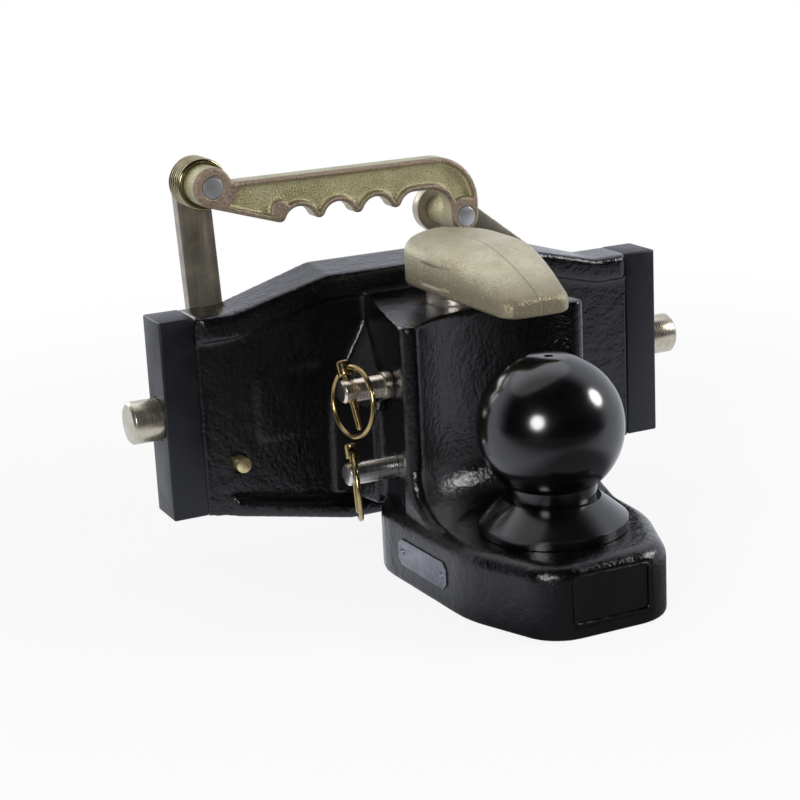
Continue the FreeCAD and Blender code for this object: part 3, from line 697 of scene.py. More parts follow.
class Bench:
    """Modelling steps that every sub-assembly shares."""

    @staticmethod
    def clear() -> None:
        """Leave edit mode and deselect everything."""
        if bpy.context.mode != "OBJECT":
            bpy.ops.object.mode_set(mode="OBJECT")
        bpy.ops.object.select_all(action="DESELECT")

    @staticmethod
    def take(piece: Piece) -> None:
        """Make one piece the only selected object and the active one.

        Args:
            piece: The piece to work on.
        """
        Bench.clear()
        piece.select_set(True)
        bpy.context.view_layer.objects.active = piece

    @staticmethod
    def edit(piece: Piece) -> None:
        """Open a piece in edit mode with all of it selected.

        Args:
            piece: The piece to open.
        """
        Bench.take(piece)
        bpy.ops.object.mode_set(mode="EDIT")
        bpy.ops.mesh.select_mode(type="VERT")
        bpy.ops.mesh.select_all(action="SELECT")

    @staticmethod
    def pick(piece: Piece, kind: Picked, test: Callable[[Element], bool]) -> None:
        """Select only those vertices or edges of an open piece that pass a test.

        Args:
            piece: The piece in edit mode.
            kind: What is picked.
            test: Says whether one of them is wanted.
        """
        bpy.ops.mesh.select_all(action="DESELECT")
        mesh = bmesh.from_edit_mesh(piece.data)
        for element in getattr(mesh, kind.value):
            element.select = test(element)
        bmesh.update_edit_mesh(piece.data)

    @staticmethod
    def adopt(name: str) -> Piece:
        """Name the primitive just added and move its place into its mesh.

        Args:
            name: The piece's name.

        Returns:
            The piece, at the origin.
        """
        piece = bpy.context.active_object
        bpy.ops.object.transform_apply(location=True, rotation=True, scale=True)
        piece.name = name
        piece.data.name = name
        return piece

    @staticmethod
    def copy_node(node: str, name: str) -> Piece:
        """Copy a CAD node's mesh into a new piece and merge its loose triangles.

        Args:
            node: The CAD node.
            name: The new piece's name.

        Returns:
            The new piece.
        """
        mesh = frame["nodes"][node].data.copy()
        mesh.name = name
        mesh.materials.clear()
        piece = bpy.data.objects.new(name, mesh)
        bpy.context.scene.collection.objects.link(piece)
        Bench.take(piece)
        if mesh.has_custom_normals:
            bpy.ops.mesh.customdata_custom_splitnormals_clear()
        Bench.edit(piece)
        bpy.ops.mesh.remove_doubles(threshold=MERGE_DISTANCE)
        bpy.ops.object.mode_set(mode="OBJECT")
        return piece

    @staticmethod
    def modify(piece: Piece, kind: str, **settings: object) -> None:
        """Add a modifier and apply it.

        Args:
            piece: The piece to change.
            kind: The modifier's type.
            settings: Its properties by name.
        """
        Bench.take(piece)
        made = piece.modifiers.new(kind.title(), kind)
        for key, value in settings.items():
            setattr(made, key, value)
        bpy.ops.object.modifier_apply(modifier=made.name)

    @staticmethod
    def keep_side(piece: Piece, point: Point, normal: Point) -> None:
        """Cut a piece by a plane, keep the side against the normal and close the cut.

        Args:
            piece: The piece to cut.
            point: A point of the plane.
            normal: The plane's normal.
        """
        Bench.edit(piece)
        bpy.ops.mesh.bisect(plane_co=point, plane_no=normal, use_fill=True, clear_outer=True)
        bpy.ops.object.mode_set(mode="OBJECT")

    @staticmethod
    def sink(piece: Piece, axis: Axis, level_mm: float, depth_mm: float) -> None:
        """Move the lower face of a cut on, into the piece that it joins.

        Args:
            piece: The piece that was cut.
            axis: The axis across the cut.
            level_mm: Where the cut is.
            depth_mm: How far its face moves.
        """
        for vertex in piece.data.vertices:
            if vertex.co[axis.value] < level_mm * MM + MERGE_DISTANCE:
                vertex.co[axis.value] -= depth_mm * MM

    @staticmethod
    def join(piece: Piece, *others: Piece) -> None:
        """Merge other pieces into this one.

        Args:
            piece: The piece that stays.
            others: The pieces that become part of it.
        """
        Bench.take(piece)
        for other in others:
            other.select_set(True)
        bpy.ops.object.join()

    @staticmethod
    def bore(piece: Piece, radius_mm: float, start_mm: Point, end_mm: Point) -> None:
        """Drill a round hole between two points.

        Args:
            piece: The piece to drill.
            radius_mm: The hole's radius.
            start_mm: One end of the hole.
            end_mm: Its other end.
        """
        run = Vector(end_mm) - Vector(start_mm)
        Bench.clear()
        bpy.ops.mesh.primitive_cylinder_add(
            vertices=DRILL_SIDES, radius=radius_mm * MM, depth=run.length * MM,
            location=(Vector(start_mm) + run / 2) * MM, rotation=run.to_track_quat("Z", "Y").to_euler(),
        )
        drill = Bench.adopt("drill")
        Bench.modify(piece, "BOOLEAN", operation="DIFFERENCE", object=drill)
        bpy.data.objects.remove(drill)

    @staticmethod
    def smooth(piece: Piece) -> None:
        """Shade a piece smooth, apart from its creases."""
        Bench.take(piece)
        bpy.ops.object.shade_smooth_by_angle(angle=CREASE_ANGLE)

    @staticmethod
    def break_edges(piece: Piece, width_mm: float, steps: int = BROKEN_EDGE_STEPS) -> None:
        """Bevel the sharp edges of a piece and shade it smooth.

        Args:
            piece: The piece to bevel.
            width_mm: The bevel's width.
            steps: How many faces the bevel has.
        """
        Bench.modify(
            piece, "BEVEL", width=width_mm * MM, segments=steps, limit_method="ANGLE",
            angle_limit=CREASE_ANGLE,
        )
        Bench.smooth(piece)

    @staticmethod
    def soften(piece: Piece, width_mm: float) -> None:
        """Join the flat triangles of a machined piece and break its sharp edges.

        Args:
            piece: The piece to soften.
            width_mm: The width of its broken edges.
        """
        Bench.edit(piece)
        bpy.ops.mesh.dissolve_limited(angle_limit=FLAT_ANGLE)
        bpy.ops.object.mode_set(mode="OBJECT")
        Bench.break_edges(piece, width_mm)

    @staticmethod
    def cast(piece: Piece, voxel_mm: float, passes: int) -> None:
        """Give a piece the soft edges and filled corners of a sand casting.

        Args:
            piece: The piece to cast, of closed forms that may overlap.
            voxel_mm: The size of its new faces.
            passes: How often it is smoothed.
        """
        Bench.modify(piece, "REMESH", mode="VOXEL", voxel_size=voxel_mm * MM, use_smooth_shade=True)
        Bench.modify(piece, "SMOOTH", factor=CAST_RELAX, iterations=passes)
        Bench.take(piece)
        bpy.ops.object.shade_smooth()

    @staticmethod
    def seat(piece: Piece, node: str, finish: Finish, stands_for: bool = True) -> None:
        """Dress a piece and let it ride on the body of a CAD node.

        Args:
            piece: The finished piece.
            node: The CAD node that it belongs to.
            finish: Its surface finish.
            stands_for: Whether it replaces the node.
        """
        body = frame["nodes"][node]["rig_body"]
        piece.data.materials.clear()
        piece.data.materials.append(finish.material())
        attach(piece, body)
        if stands_for:
            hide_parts(node)
        Bench.clear()
        log.info("%s rides on %s with %d faces", piece.name, body, len(piece.data.polygons))


@dataclass
class CarriageCasting:
    """The carriage: a rough painted casting between two smooth guide bars."""

    node: ClassVar[str] = "carriage_body"
    bar_inner_mm: float = 143.0
    bar_outer_mm: float = 164.5
    bar_half_depth_mm: float = 14.2
    bar_half_height_mm: float = 59.0
    bar_edge_mm: float = 1.2
    bar_edge_steps: int = 3
    bolt_bore_mm: float = 13.05
    bar_sink_mm: float = 4.0
    sink_share: float = 0.9
    web_front_mm: float = -13.5
    bore_skin_mm: float = 2.2
    bore_from_mm: float = 72.0
    split_mm: float = -23.0
    overlap_mm: float = 4.0
    cut_rise_mm: float = 0.4
    heel_mm: float = -43.5
    root_sink_mm: float = 10.0
    web_voxel_mm: float = 1.35
    block_voxel_mm: float = 1.25
    passes: int = 7
    foot_rear_mm: Pair = (64.0, -46.0)
    foot_side_mm: Pair = (58.3, -172.0)
    foot_nose_mm: Pair = (35.9, -226.5)
    foot_radii_mm: tuple[float, float, float] = (40.0, 60.0, 24.0)
    foot_corner_steps: int = 8
    foot_edges_mm: Pair = (9.0, 2.0)
    foot_edge_steps: int = 6
    nut_recess_mm: float = 30.0
    plate_length_mm: float = 54.0
    plate_height_mm: float = 15.5
    plate_thickness_mm: float = 0.8
    plate_corner_mm: float = 3.5
    plate_edge_mm: float = 0.15
    plate_middle_mm: Pair = (-125.5, -70.6)
    across_plate: float = 0.9
    rivet_radius_mm: float = 2.0
    rivet_rise_mm: float = 0.9
    rivet_inset_mm: float = 4.4
    rivet_segments: int = 24
    rivet_rings: int = 12
    nose_back_mm: float = 0.6
    panel_depth_mm: float = 0.6
    rim_size_mm: Pair = (47.0, 27.5)
    rim_height_mm: float = -68.4
    rim_width_mm: float = 1.7
    rim_depth_mm: float = 1.5
    rim_corner_mm: float = 4.0
    rim_corner_steps: int = 5
    rim_edge_mm: float = 0.6
    rim_edge_steps: int = 3

    def build(self) -> None:
        """Make the casting, the guide bars, the rim on the nose and the nameplate."""
        self.web()
        self.block()
        for side, name in ((-1, "left_guide_bar"), (1, "right_guide_bar")):
            self.guide_bar(side, name)
        self.nose_rim()
        self.nameplate()
        for end, name in ((-1, "rear_rivet"), (1, "front_rivet")):
            self.rivet(end, name)

    def web(self) -> None:
        """The web between the guide bars, with its ends sunk into them."""
        web = Bench.copy_node(self.node, "web_casting")
        reach = (self.bar_inner_mm + self.bar_sink_mm) * MM
        for side in (-1, 1):
            Bench.keep_side(web, (side * reach, 0, 0), (side, 0, 0))
        Bench.keep_side(web, (0, (self.split_mm - self.overlap_mm) * MM, 0), (0, -1, 0))
        Bench.join(web, *(self.bore_skin(side) for side in (-1, 1)))
        Bench.cast(web, self.web_voxel_mm, self.passes)
        for vertex in web.data.vertices:
            if abs(vertex.co.x) > self.bar_inner_mm * MM:
                vertex.co.yz *= self.sink_share
        Bench.seat(web, self.node, BODY_PAINT)

    def bore_skin(self, side: int) -> Piece:
        """A strip that thickens the thin wall in front of one bolt's bore.

        Args:
            side: -1 on the left and 1 on the right.

        Returns:
            The strip.
        """
        width = self.bar_inner_mm - self.bore_from_mm
        middle = side * (self.bore_from_mm + width / 2)
        Bench.clear()
        bpy.ops.mesh.primitive_cube_add(
            size=1.0, location=(middle * MM, (self.web_front_mm + self.bore_skin_mm / 2) * MM, 0),
            scale=(width * MM, self.bore_skin_mm * MM, self.bolt_bore_mm * MM),
        )
        return Bench.adopt("bore_skin")

    def block(self) -> None:
        """The block and its foot, cast as one."""
        block = Bench.copy_node(self.node, "block_casting")
        Bench.keep_side(block, (0, (self.split_mm + self.overlap_mm) * MM, 0), (0, 1, 0))
        root = block.copy()
        root.data = block.data.copy()
        bpy.context.scene.collection.objects.link(root)
        heel = self.heel_mm + self.cut_rise_mm
        Bench.keep_side(root, (0, heel * MM, 0), (0, -1, 0))
        Bench.sink(root, Axis.Y, heel, self.root_sink_mm)
        top = LAYOUT.foot_top_mm + self.cut_rise_mm
        Bench.keep_side(block, (0, 0, top * MM), (0, 0, -1))
        Bench.sink(block, Axis.Z, top, self.overlap_mm)
        Bench.join(block, root, self.foot())
        Bench.cast(block, self.block_voxel_mm, self.passes)
        self.nose_panel(block)
        Bench.seat(block, self.node, BODY_PAINT)

    def foot(self) -> Piece:
        """The thick foot under the ball, drilled for the ball's shank and nut.

        Returns:
            The foot before it is cast with the block.
        """
        foot = self.foot_plan()
        self.raise_foot(foot)
        x, y = LAYOUT.ball_place_mm
        below = LAYOUT.floor_mm - OVER_CUT_MM
        above = LAYOUT.foot_top_mm + OVER_CUT_MM
        shank = LAYOUT.shank_mm + LAYOUT.fit_mm
        for radius, top in ((shank, above), (self.nut_recess_mm, LAYOUT.nut_seat_mm)):
            Bench.bore(foot, radius, (x, y, below), (x, y, top))
        return foot

    def foot_plan(self) -> Piece:
        """The foot's plan with its rounded corners.

        Returns:
            A flat piece at the height of the floor.
        """
        right = [self.foot_rear_mm, self.foot_side_mm, self.foot_nose_mm]
        plan = [Vector((x, y)) for x, y in right + [(-x, y) for x, y in right[::-1]]]
        radii = [*self.foot_radii_mm, *self.foot_radii_mm[::-1]]
        Bench.clear()
        bpy.ops.mesh.primitive_circle_add(vertices=len(plan), radius=1.0, fill_type="NGON")
        foot = Bench.adopt("foot")
        for vertex, corner in zip(foot.data.vertices, plan):
            vertex.co = Vector((corner.x, corner.y, LAYOUT.floor_mm)) * MM
        Bench.edit(foot)
        for index, (corner, radius) in enumerate(zip(plan, radii)):
            before, after = plan[index - 1] - corner, plan[(index + 1) % len(plan)] - corner
            reach = radius / math.tan(before.angle(after) / 2)
            Bench.pick(
                foot, Picked.VERTICES,
                lambda vertex, corner=corner: (vertex.co.xy / MM - corner).length < SAME_PLACE_MM,
            )
            bpy.ops.mesh.bevel(offset=reach * MM, segments=self.foot_corner_steps, affect="VERTICES")
        bpy.ops.object.mode_set(mode="OBJECT")
        return foot

    def raise_foot(self, foot: Piece) -> None:
        """Raise the plan to the foot's height, and round its upper and lower edge.

        Args:
            foot: The flat plan.
        """
        Bench.edit(foot)
        rise = (LAYOUT.foot_top_mm - LAYOUT.floor_mm) * MM
        bpy.ops.mesh.extrude_region_move(TRANSFORM_OT_translate={"value": (0, 0, rise)})
        bpy.ops.mesh.select_all(action="SELECT")
        bpy.ops.mesh.normals_make_consistent(inside=False)
        bpy.ops.mesh.select_mode(type="EDGE")
        for level, width in zip((LAYOUT.foot_top_mm, LAYOUT.floor_mm), self.foot_edges_mm):
            Bench.pick(
                foot, Picked.EDGES,
                lambda edge, level=level: all(
                    abs(vertex.co.z / MM - level) < SAME_PLACE_MM for vertex in edge.verts
                ),
            )
            bpy.ops.mesh.bevel(offset=width * MM, segments=self.foot_edge_steps, affect="EDGES")
        bpy.ops.object.mode_set(mode="OBJECT")

    def nose_panel(self, block: Piece) -> None:
        """Set the nose back by the height of its rim, and the panel inside the rim a little more.

        Args:
            block: The cast block with its foot.
        """
        half_width, half_height = (size / 2 for size in self.rim_size_mm)
        for vertex in block.data.vertices:
            place = vertex.co / MM
            level = self.foot_nose_mm[1] + self.nose_back_mm
            if abs(place.x) < half_width and abs(place.z - self.rim_height_mm) < half_height:
                level += self.panel_depth_mm
            vertex.co.y = max(vertex.co.y, level * MM)

    def nose_rim(self) -> None:
        """The thin raised rim round the panel on the nose."""
        width, height = self.rim_size_mm
        back = self.foot_nose_mm[1] + self.rim_depth_mm
        Bench.clear()
        bpy.ops.mesh.primitive_plane_add(
            size=1.0, location=(0, back * MM, self.rim_height_mm * MM), rotation=(math.pi / 2, 0, 0),
        )
        bpy.context.active_object.scale = (width * MM, height * MM, 1.0)
        rim = Bench.adopt("nose_rim")
        Bench.edit(rim)
        bpy.ops.mesh.bevel(offset=self.rim_corner_mm * MM, segments=self.rim_corner_steps, affect="VERTICES")
        bpy.ops.mesh.select_all(action="SELECT")
        bpy.ops.mesh.select_mode(type="FACE")
        bpy.ops.mesh.inset(thickness=self.rim_width_mm * MM)
        bpy.ops.mesh.delete(type="FACE")
        bpy.ops.object.mode_set(mode="OBJECT")
        Bench.modify(rim, "SOLIDIFY", thickness=self.rim_depth_mm * MM, offset=1.0)
        Bench.break_edges(rim, self.rim_edge_mm, self.rim_edge_steps)
        Bench.seat(rim, self.node, BODY_PAINT, stands_for=False)

    def guide_bar(self, side: int, name: str) -> None:
        """One machined bar with its edges broken and the bolt's bore through it.

        Args:
            side: -1 on the left and 1 on the right.
            name: The piece's name.
        """
        width = self.bar_outer_mm - self.bar_inner_mm
        Bench.clear()
        bpy.ops.mesh.primitive_cube_add(
            size=1.0, location=(side * (self.bar_inner_mm + width / 2) * MM, 0, 0),
            scale=(width * MM, 2 * self.bar_half_depth_mm * MM, 2 * self.bar_half_height_mm * MM),
        )
        piece = Bench.adopt(name)
        Bench.edit(piece)
        bpy.ops.mesh.bevel(offset=self.bar_edge_mm * MM, segments=self.bar_edge_steps, affect="EDGES")
        bpy.ops.object.mode_set(mode="OBJECT")
        inner, outer = side * (self.bar_inner_mm - OVER_CUT_MM), side * (self.bar_outer_mm + OVER_CUT_MM)
        Bench.bore(piece, self.bolt_bore_mm, (inner, 0, 0), (outer, 0, 0))
        Bench.smooth(piece)
        Bench.seat(piece, self.node, BAR_PAINT)

    def side_frame(self) -> tuple[Vector, Vector, Vector]:
        """The left side of the foot where the plate sits.

        Returns:
            The plate's middle, the direction along the foot and the outward normal.
        """
        rear = Vector((-self.foot_rear_mm[0], self.foot_rear_mm[1], 0))
        front = Vector((-self.foot_side_mm[0], self.foot_side_mm[1], 0))
        along = (front - rear).normalized()
        share = (self.plate_middle_mm[0] - rear.y) / (front.y - rear.y)
        middle = rear.lerp(front, share)
        middle.z = self.plate_middle_mm[1]
        return middle * MM, along, Vector((along.y, -along.x, 0))

    def nameplate(self) -> None:
        """The bare plate with clipped corners on the left of the foot."""
        middle, along, out = self.side_frame()
        Bench.clear()
        bpy.ops.mesh.primitive_cube_add(
            size=1.0,
            location=middle + out * self.plate_thickness_mm * MM / 2,
            rotation=(0, 0, math.atan2(along.y, along.x)),
            scale=(self.plate_length_mm * MM, self.plate_thickness_mm * MM, self.plate_height_mm * MM),
        )
        plate = Bench.adopt("nameplate")
        Bench.edit(plate)
        bpy.ops.mesh.select_mode(type="EDGE")

        def through(edge: bmesh.types.BMEdge) -> bool:
            """Whether an edge runs through the plate's thickness."""
            run = (edge.verts[0].co - edge.verts[1].co).normalized()
            return abs(run.dot(out)) > self.across_plate

        Bench.pick(plate, Picked.EDGES, through)
        bpy.ops.mesh.bevel(offset=self.plate_corner_mm * MM, segments=1, affect="EDGES")
        bpy.ops.object.mode_set(mode="OBJECT")
        Bench.soften(plate, self.plate_edge_mm)
        Bench.seat(plate, self.node, PLATE_METAL, stands_for=False)

    def rivet(self, end: int, name: str) -> None:
        """A low domed rivet at one end of the plate.

        Args:
            end: -1 at the rear and 1 at the front.
            name: The piece's name.
        """
        middle, along, out = self.side_frame()
        reach = self.plate_length_mm / 2 - self.rivet_inset_mm
        spot = middle + along * end * reach * MM + out * self.plate_thickness_mm * MM
        Bench.clear()
        bpy.ops.mesh.primitive_uv_sphere_add(
            segments=self.rivet_segments, ring_count=self.rivet_rings, radius=self.rivet_radius_mm * MM,
            location=spot, rotation=(0, 0, math.atan2(out.y, out.x)),
            scale=(self.rivet_rise_mm / self.rivet_radius_mm, 1, 1),
        )
        piece = Bench.adopt(name)
        Bench.keep_side(piece, spot, -out)
        Bench.smooth(piece)
        Bench.seat(piece, self.node, PLATE_METAL, stands_for=False)


@dataclass
class CouplingBall:
    """The turned ball with its neck, cone flange, shank and threaded end."""

    radius_mm: float = 40.0
    centre_mm: float = 8.1
    top_flat_mm: float = 11.0
    hole_mm: float = 2.2
    hole_depth_mm: float = 8.0
    neck_mm: float = 25.0
    neck_foot_mm: float = 23.6
    neck_step_mm: float = 1.5
    cone_top_mm: float = -31.1
    flange_mm: float = 41.0
    flange_top_mm: float = -43.3
    thread_mm: float = 18.0
    thread_end_mm: float = -88.3
    thread_pitch_mm: float = 3.0
    edge_mm: float = 0.5
    ball_steps: int = 48
    turn_steps: int = 128

    def ball_arc(self) -> list[Pair]:
        """The round of the ball, from its flat top down to its neck.

        Returns:
            Radius and height of each point, in millimetres.
        """
        start = math.asin(self.top_flat_mm / self.radius_mm)
        stop = math.pi - math.asin(self.neck_mm / self.radius_mm)
        angles = [start + (stop - start) * step / self.ball_steps for step in range(self.ball_steps + 1)]
        return [
            (self.radius_mm * math.sin(angle), self.centre_mm + self.radius_mm * math.cos(angle))
            for angle in angles
        ]

    def thread(self) -> list[Pair]:
        """The ridges of the thread, from the nut's seat down.

        Returns:
            Radius and height of each corner, in millimetres.
        """
        pitch = self.thread_pitch_mm
        height = LAYOUT.nut_seat_mm - pitch
        points: list[Pair] = []
        while height > self.thread_end_mm + pitch:
            points += [(self.thread_mm - pitch / 2, height - pitch / 2), (self.thread_mm, height - pitch)]
            height -= pitch
        return points

    def profile(self) -> list[Pair]:
        """The half outline from the bottom of the hole to the end of the thread.

        Returns:
            Radius and height of each corner, in millimetres.
        """
        edge = self.edge_mm
        top = self.centre_mm + math.sqrt(self.radius_mm**2 - self.top_flat_mm**2)
        return [
            (0.0, top - self.hole_depth_mm),
            (self.hole_mm, top - self.hole_depth_mm),
            (self.hole_mm, top - edge),
            (self.hole_mm + edge, top),
            *self.ball_arc(),
            (self.neck_foot_mm, self.cone_top_mm),
            (self.neck_mm + self.neck_step_mm, self.cone_top_mm),
            (self.flange_mm - edge, self.flange_top_mm + edge),
            (self.flange_mm, self.flange_top_mm),
            (self.flange_mm, LAYOUT.foot_top_mm + edge),
            (self.flange_mm - edge, LAYOUT.foot_top_mm),
            (LAYOUT.shank_mm, LAYOUT.foot_top_mm),
            (LAYOUT.shank_mm, LAYOUT.nut_seat_mm),
            (self.thread_mm, LAYOUT.nut_seat_mm),
            *self.thread(),
            (self.thread_mm - self.thread_pitch_mm / 2, self.thread_end_mm),
            (0.0, self.thread_end_mm),
        ]

    def build(self) -> None:
        """Draw the half outline by extruding a corner, and spin it into the ball."""
        x, y = LAYOUT.ball_place_mm
        corners = [Vector((x + radius, y, height)) * MM for radius, height in self.profile()]
        Bench.clear()
        bpy.ops.mesh.primitive_plane_add(size=self.edge_mm * MM, location=corners[0])
        ball = Bench.adopt("turned_ball")
        Bench.edit(ball)
        bpy.ops.mesh.merge(type="CENTER")
        for here, there in zip(corners, corners[1:]):
            bpy.ops.mesh.extrude_region_move(TRANSFORM_OT_translate={"value": there - here})
        bpy.ops.mesh.select_all(action="SELECT")
        bpy.ops.mesh.spin(
            steps=self.turn_steps, angle=math.tau, center=(x * MM, y * MM, 0), axis=(0, 0, 1),
        )
        bpy.ops.mesh.select_all(action="SELECT")
        bpy.ops.mesh.remove_doubles(threshold=SAME_PLACE_MM * MM)
        bpy.ops.mesh.normals_make_consistent(inside=False)
        bpy.ops.object.mode_set(mode="OBJECT")
        Bench.smooth(ball)
        Bench.seat(ball, "coupling_ball", BALL_ENAMEL)


@dataclass
class HoldDown:
    """The hold-down: a cast head with a parting ridge over a turned post."""

    node: ClassVar[str] = "hold_down"
    split_mm: float = 70.2
    top_mm: float = 99.2
    settle_mm: float = 1.8
    droop_mm: float = 3.9
    droop_from_mm: float = -97.5
    nose_mm: float = -159.5
    nose_flat_mm: float = -158.2
    voxel_mm: float = 0.9
    passes: int = 7
    ridge_slope: float = 0.06
    ridge_from_mm: float = 72.0
    ridge_full_mm: float = 80.0
    flank_mm: float = -30.0
    flank_depth_mm: float = 0.8
    flank_reach_mm: float = 0.96
    plain_from_mm: Pair = (-89.0, 77.0)
    plain_to_mm: Pair = (-71.0, 91.0)
    panel_from_mm: Pair = (-108.0, 75.5)
    panel_to_mm: Pair = (-77.0, 89.0)
    edge_mm: float = 0.4

    def build(self) -> None:
        """Make the head and the post."""
        head = Bench.copy_node(self.node, "hold_down_head")
        Bench.keep_side(head, (0, 0, self.split_mm * MM), (0, 0, -1))
        Bench.keep_side(head, (0, self.nose_flat_mm * MM, 0), (0, -1, 0))
        Bench.cast(head, self.voxel_mm, self.passes)
        self.settle(head)
        self.flank(head)
        self.ridge(head)
        Bench.seat(head, self.node, HEAD_ZINC)
        self.post()

    def settle(self, head: Piece) -> None:
        """Lower the top a little, and let the nose droop over the ball.

        Args:
            head: The cast head.
        """
        for vertex in head.data.vertices:
            rise = (vertex.co.z / MM - self.split_mm) / (self.top_mm - self.split_mm)
            reach = (vertex.co.y / MM - self.droop_from_mm) / (self.nose_mm - self.droop_from_mm)
            vertex.co.z -= (self.settle_mm * rise + self.droop_mm * max(0.0, reach)) * MM

    def flank(self, head: Piece) -> None:
        """Level the left flank, and set the shallow panel into it further forward.

        Args:
            head: The cast head.
        """
        def inside(place: Vector, low: Pair, high: Pair) -> bool:
            """Whether a place lies between two corners, seen from the side."""
            return low[0] * MM < place.y < high[0] * MM and low[1] * MM < place.z < high[1] * MM

        for vertex in head.data.vertices:
            sunk = vertex.co.x - self.flank_mm * MM
            plain = inside(vertex.co, self.plain_from_mm, self.plain_to_mm)
            if plain and 0 < sunk < self.flank_reach_mm * MM:
                vertex.co.x -= sunk
            if vertex.co.x < 0 and inside(vertex.co, self.panel_from_mm, self.panel_to_mm):
                vertex.co.x += self.flank_depth_mm * MM

    def ridge(self, head: Piece) -> None:
        """Let the top fall away to both sides of the parting line.

        Args:
            head: The cast head.
        """
        low, high = self.ridge_from_mm * MM, self.ridge_full_mm * MM
        for vertex in head.data.vertices:
            share = min(1.0, max(0.0, (vertex.co.z - low) / (high - low)))
            vertex.co.z -= self.ridge_slope * share * abs(vertex.co.x)
        head.data.update()

    def post(self) -> None:
        """The turned post under the head."""
        post = Bench.copy_node(self.node, "hold_down_post")
        Bench.keep_side(post, (0, 0, self.split_mm * MM), (0, 0, 1))
        Bench.soften(post, self.edge_mm)
        Bench.seat(post, self.node, POST_ZINC)


@dataclass
class ReleaseHandle:
    """The cast finger grip with its soft edges."""

    node: ClassVar[str] = "handle_grip"
    voxel_mm: float = 0.7
    passes: int = 4

    def build(self) -> None:
        """Make the grip."""
        grip = Bench.copy_node(self.node, "finger_grip")
        Bench.cast(grip, self.voxel_mm, self.passes)
        Bench.seat(grip, self.node, GRIP_ZINC)


@dataclass(frozen=True)
class Fittings:
    """Pieces of one finish that keep their CAD form. An edge of 0 leaves round wire as it is."""

    finish: Finish
    nodes: tuple[str, ...]
    edge_mm: float = 0.25

    def build(self) -> None:
        """Copy each node, break its edges and dress it."""
        for node in self.nodes:
            piece = Bench.copy_node(node, "dressed_" + node)
            if self.edge_mm > 0:
                Bench.soften(piece, self.edge_mm)
            else:
                Bench.smooth(piece)
            Bench.seat(piece, node, self.finish)


FITTINGS: tuple[Fittings, ...] = (
    Fittings(NUT_STEEL, ("ball_washer",)),
    Fittings(NUT_STEEL, ("ball_nut",), 0.8),
    Fittings(PIN_ZINC, ("upper_clevis_pin",), 0.4),
    Fittings(PIN_STEEL, ("lower_clevis_pin",), 0.4),
    Fittings(GOLD_WIRE, ("upper_linch_pin", "lower_linch_pin", "upper_linch_ring", "lower_linch_ring"), 0.0),
    Fittings(BOLT_ZINC, ("left_lock_bolt", "right_lock_bolt"), 0.4),
    Fittings(SPRING_WIRE, ("left_bolt_spring", "right_bolt_spring", "handle_spring"), 0.0),
    Fittings(STRAP_ZINC, ("left_lever", "right_lever"), 0.7),
    Fittings(STUD_ZINC, ("left_pivot_pin", "right_pivot_pin"), 0.5),
    Fittings(STUD_ZINC, ("left_drive_pin", "right_drive_pin")),
    Fittings(CLIP_STEEL, ("left_pivot_clip", "right_pivot_clip", "handle_left_clip", "handle_right_clip")),
    Fittings(END_STEEL, ("handle_left_pin", "handle_right_pin", "handle_right_stud"), 0.6),
)


@dataclass(frozen=True)
class Lamp:
    """A studio lamp that points at the coupling, in metres."""

    name: str
    place: Point
    width: float
    depth: float
    watts: float
    aim: Point = (0.0, -0.08, 0.02)

    def build(self) -> None:
        """Add the lamp."""
        data = bpy.data.lights.new(self.name, "AREA")
        data.shape = "ELLIPSE"
        data.size = self.width
        data.size_y = self.depth
        data.energy = self.watts
        lamp = bpy.data.objects.new(self.name, data)
        bpy.context.scene.collection.objects.link(lamp)
        lamp.location = self.place
        lamp.rotation_euler = (Vector(self.aim) - Vector(self.place)).to_track_quat("-Z", "Y").to_euler()


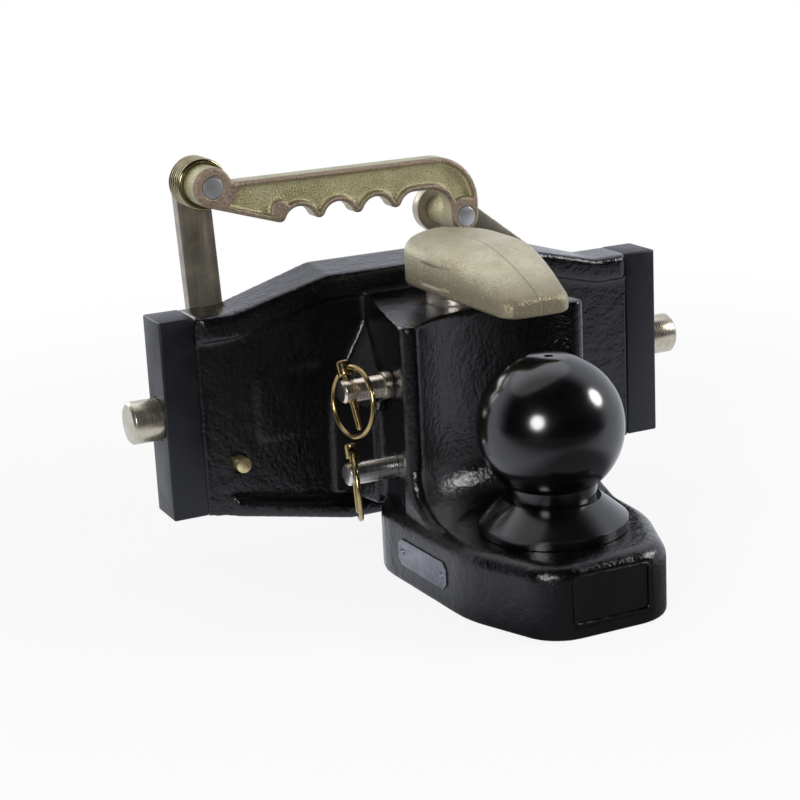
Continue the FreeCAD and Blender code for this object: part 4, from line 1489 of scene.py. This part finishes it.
@dataclass
class Studio:
    """The camera of the photograph, a pale floor and soft light, in metres where no unit is named."""

    eye_mm: Point = (-494.26, -1036.31, 303.98)
    forward: Point = (0.40742387, 0.87303753, -0.26797621)
    roll_deg: float = -2.8533
    focal_px: float = 1945.45
    frame_px: float = 800.0
    sensor_mm: float = 36.0
    far_clip: float = 100.0
    floor_size: float = 40.0
    floor_colour: Colour = (0.86, 0.86, 0.86)
    floor_roughness: float = 0.9
    floor_level: float = 0.1
    floor_glow: Pair = (0.88, 1.0)
    floor_white_from: Pair = (0.25, 0.8)
    floor_dark_from: Pair = (-0.5, -0.12)
    mirror_share: float = 0.9
    shade_middle: Pair = (0.03, -0.25)
    shade_radii: Pair = (0.11, 0.16)
    shade_edge: Pair = (0.75, 1.5)
    shade_level: float = 0.15
    fill: float = 0.12
    dark: float = 0.02
    sky: Colour = (0.88, 0.905, 1.0)
    sky_dark_from: Pair = (-0.3, 0.2)
    lamps: ClassVar[tuple[Lamp, ...]] = (
        Lamp("camera_lamp", (-1.01, -1.01, 0.48), 0.5, 0.5, 10.5),
        Lamp("right_lamp", (1.04, -0.6, 0.65), 0.46, 0.46, 8.5),
        Lamp("top_lamp", (-0.1, 0.35, 1.35), 2.2, 1.5, 5.0),
        Lamp("rear_lamp", (-0.6, 1.5, 0.7), 0.9, 0.9, 6.0),
    )

    def build(self) -> None:
        """Set the stage and the camera."""
        bpy.context.scene.view_settings.view_transform = "Standard"
        self.camera()
        self.floor()
        self.world()
        for lamp in self.lamps:
            lamp.build()

    def camera(self) -> None:
        """The camera fitted to the photograph."""
        data = bpy.data.cameras.new("photo_camera")
        data.sensor_width = self.sensor_mm
        data.lens = self.focal_px / self.frame_px * self.sensor_mm
        data.clip_end = self.far_clip
        camera = bpy.data.objects.new("photo_camera", data)
        bpy.context.scene.collection.objects.link(camera)
        camera.location = Vector(self.eye_mm) * MM
        level = Vector(self.forward).to_track_quat("-Z", "Y")
        camera.rotation_mode = "QUATERNION"
        camera.rotation_quaternion = level @ Quaternion((0, 0, 1), math.radians(self.roll_deg))
        bpy.context.scene.camera = camera

    def floor(self) -> None:
        """A pale floor, white at a distance, that keeps the coupling's shadow, with a painted shadow round
        the foot that only reflections see.
        """
        Bench.clear()
        bpy.ops.mesh.primitive_plane_add(size=self.floor_size, location=(0, 0, LAYOUT.floor_mm * MM))
        floor = Bench.adopt("studio_floor")
        graph = MaterialGraph("studio_floor")
        graph.finish(
            Base_Color=(*self.floor_colour, 1.0), Roughness=self.floor_roughness,
            Specular_IOR_Level=self.floor_level,
        )
        seen, mirrored = graph.rays()
        near = graph.spread(graph.length(graph.place), *self.floor_white_from, *self.floor_glow)
        lit = graph.spread(graph.ahead(self.forward), *self.floor_dark_from, self.dark, 1.0)
        # Painted shadow: reflections see the floor darker in an ellipse round the foot, as if shaded by the
        # coupling.
        scale = [1 / radius for radius in self.shade_radii]
        shift = [-middle * share for middle, share in zip(self.shade_middle, scale)]
        under = graph.length(graph.stretched((*scale, 0.0), (*shift, 0.0)))
        lit = graph.math("MULTIPLY", lit, graph.spread(under, *self.shade_edge, self.shade_level, 1.0))
        glow = graph.node("ShaderNodeEmission")
        graph.feed(glow.inputs["Color"], graph.blend(mirrored, WHITE, self.sky))
        graph.feed(glow.inputs["Strength"], graph.math("ADD", seen, graph.math("MULTIPLY", mirrored, lit)))
        reflected = graph.math("MULTIPLY", mirrored, self.mirror_share)
        share = graph.math("ADD", graph.math("MULTIPLY", seen, near), reflected)
        surface = graph.node("ShaderNodeMixShader")
        for target, value in zip(surface.inputs, (share, graph.shader.outputs[0], glow.outputs[0])):
            graph.feed(target, value)
        graph.feed(graph.tree.nodes["Material Output"].inputs["Surface"], surface.outputs[0])
        floor.data.materials.append(graph.material)

    def world(self) -> None:
        """A white backdrop that reflections see behind the coupling, and a plain fill."""
        world = bpy.data.worlds.new("studio")
        bpy.context.scene.world = world
        world.use_nodes = True
        graph = Graph(world.node_tree, Coordinates.GENERATED)
        seen, mirrored = graph.rays()
        shade = graph.spread(graph.ahead(self.forward), *self.sky_dark_from, self.dark, 1.0)
        reflected = graph.mix(Mixed.VALUES, mirrored, self.fill, shade)
        backdrop = graph.tree.nodes["Background"]
        graph.feed(backdrop.inputs["Color"], graph.blend(seen, self.sky, WHITE))
        graph.feed(backdrop.inputs["Strength"], graph.mix(Mixed.VALUES, seen, reflected, 1.0))


def main() -> None:
    """Build the studio and every sub-assembly."""
    logging.basicConfig(level=logging.INFO, format="%(name)s: %(message)s")
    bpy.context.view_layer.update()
    builders: Sequence[Callable[[], None]] = (
        Studio().build,
        CarriageCasting().build,
        CouplingBall().build,
        HoldDown().build,
        ReleaseHandle().build,
        *(fittings.build for fittings in FITTINGS),
    )
    for build in builders:
        build()


if __name__ == "__main__":
    main()
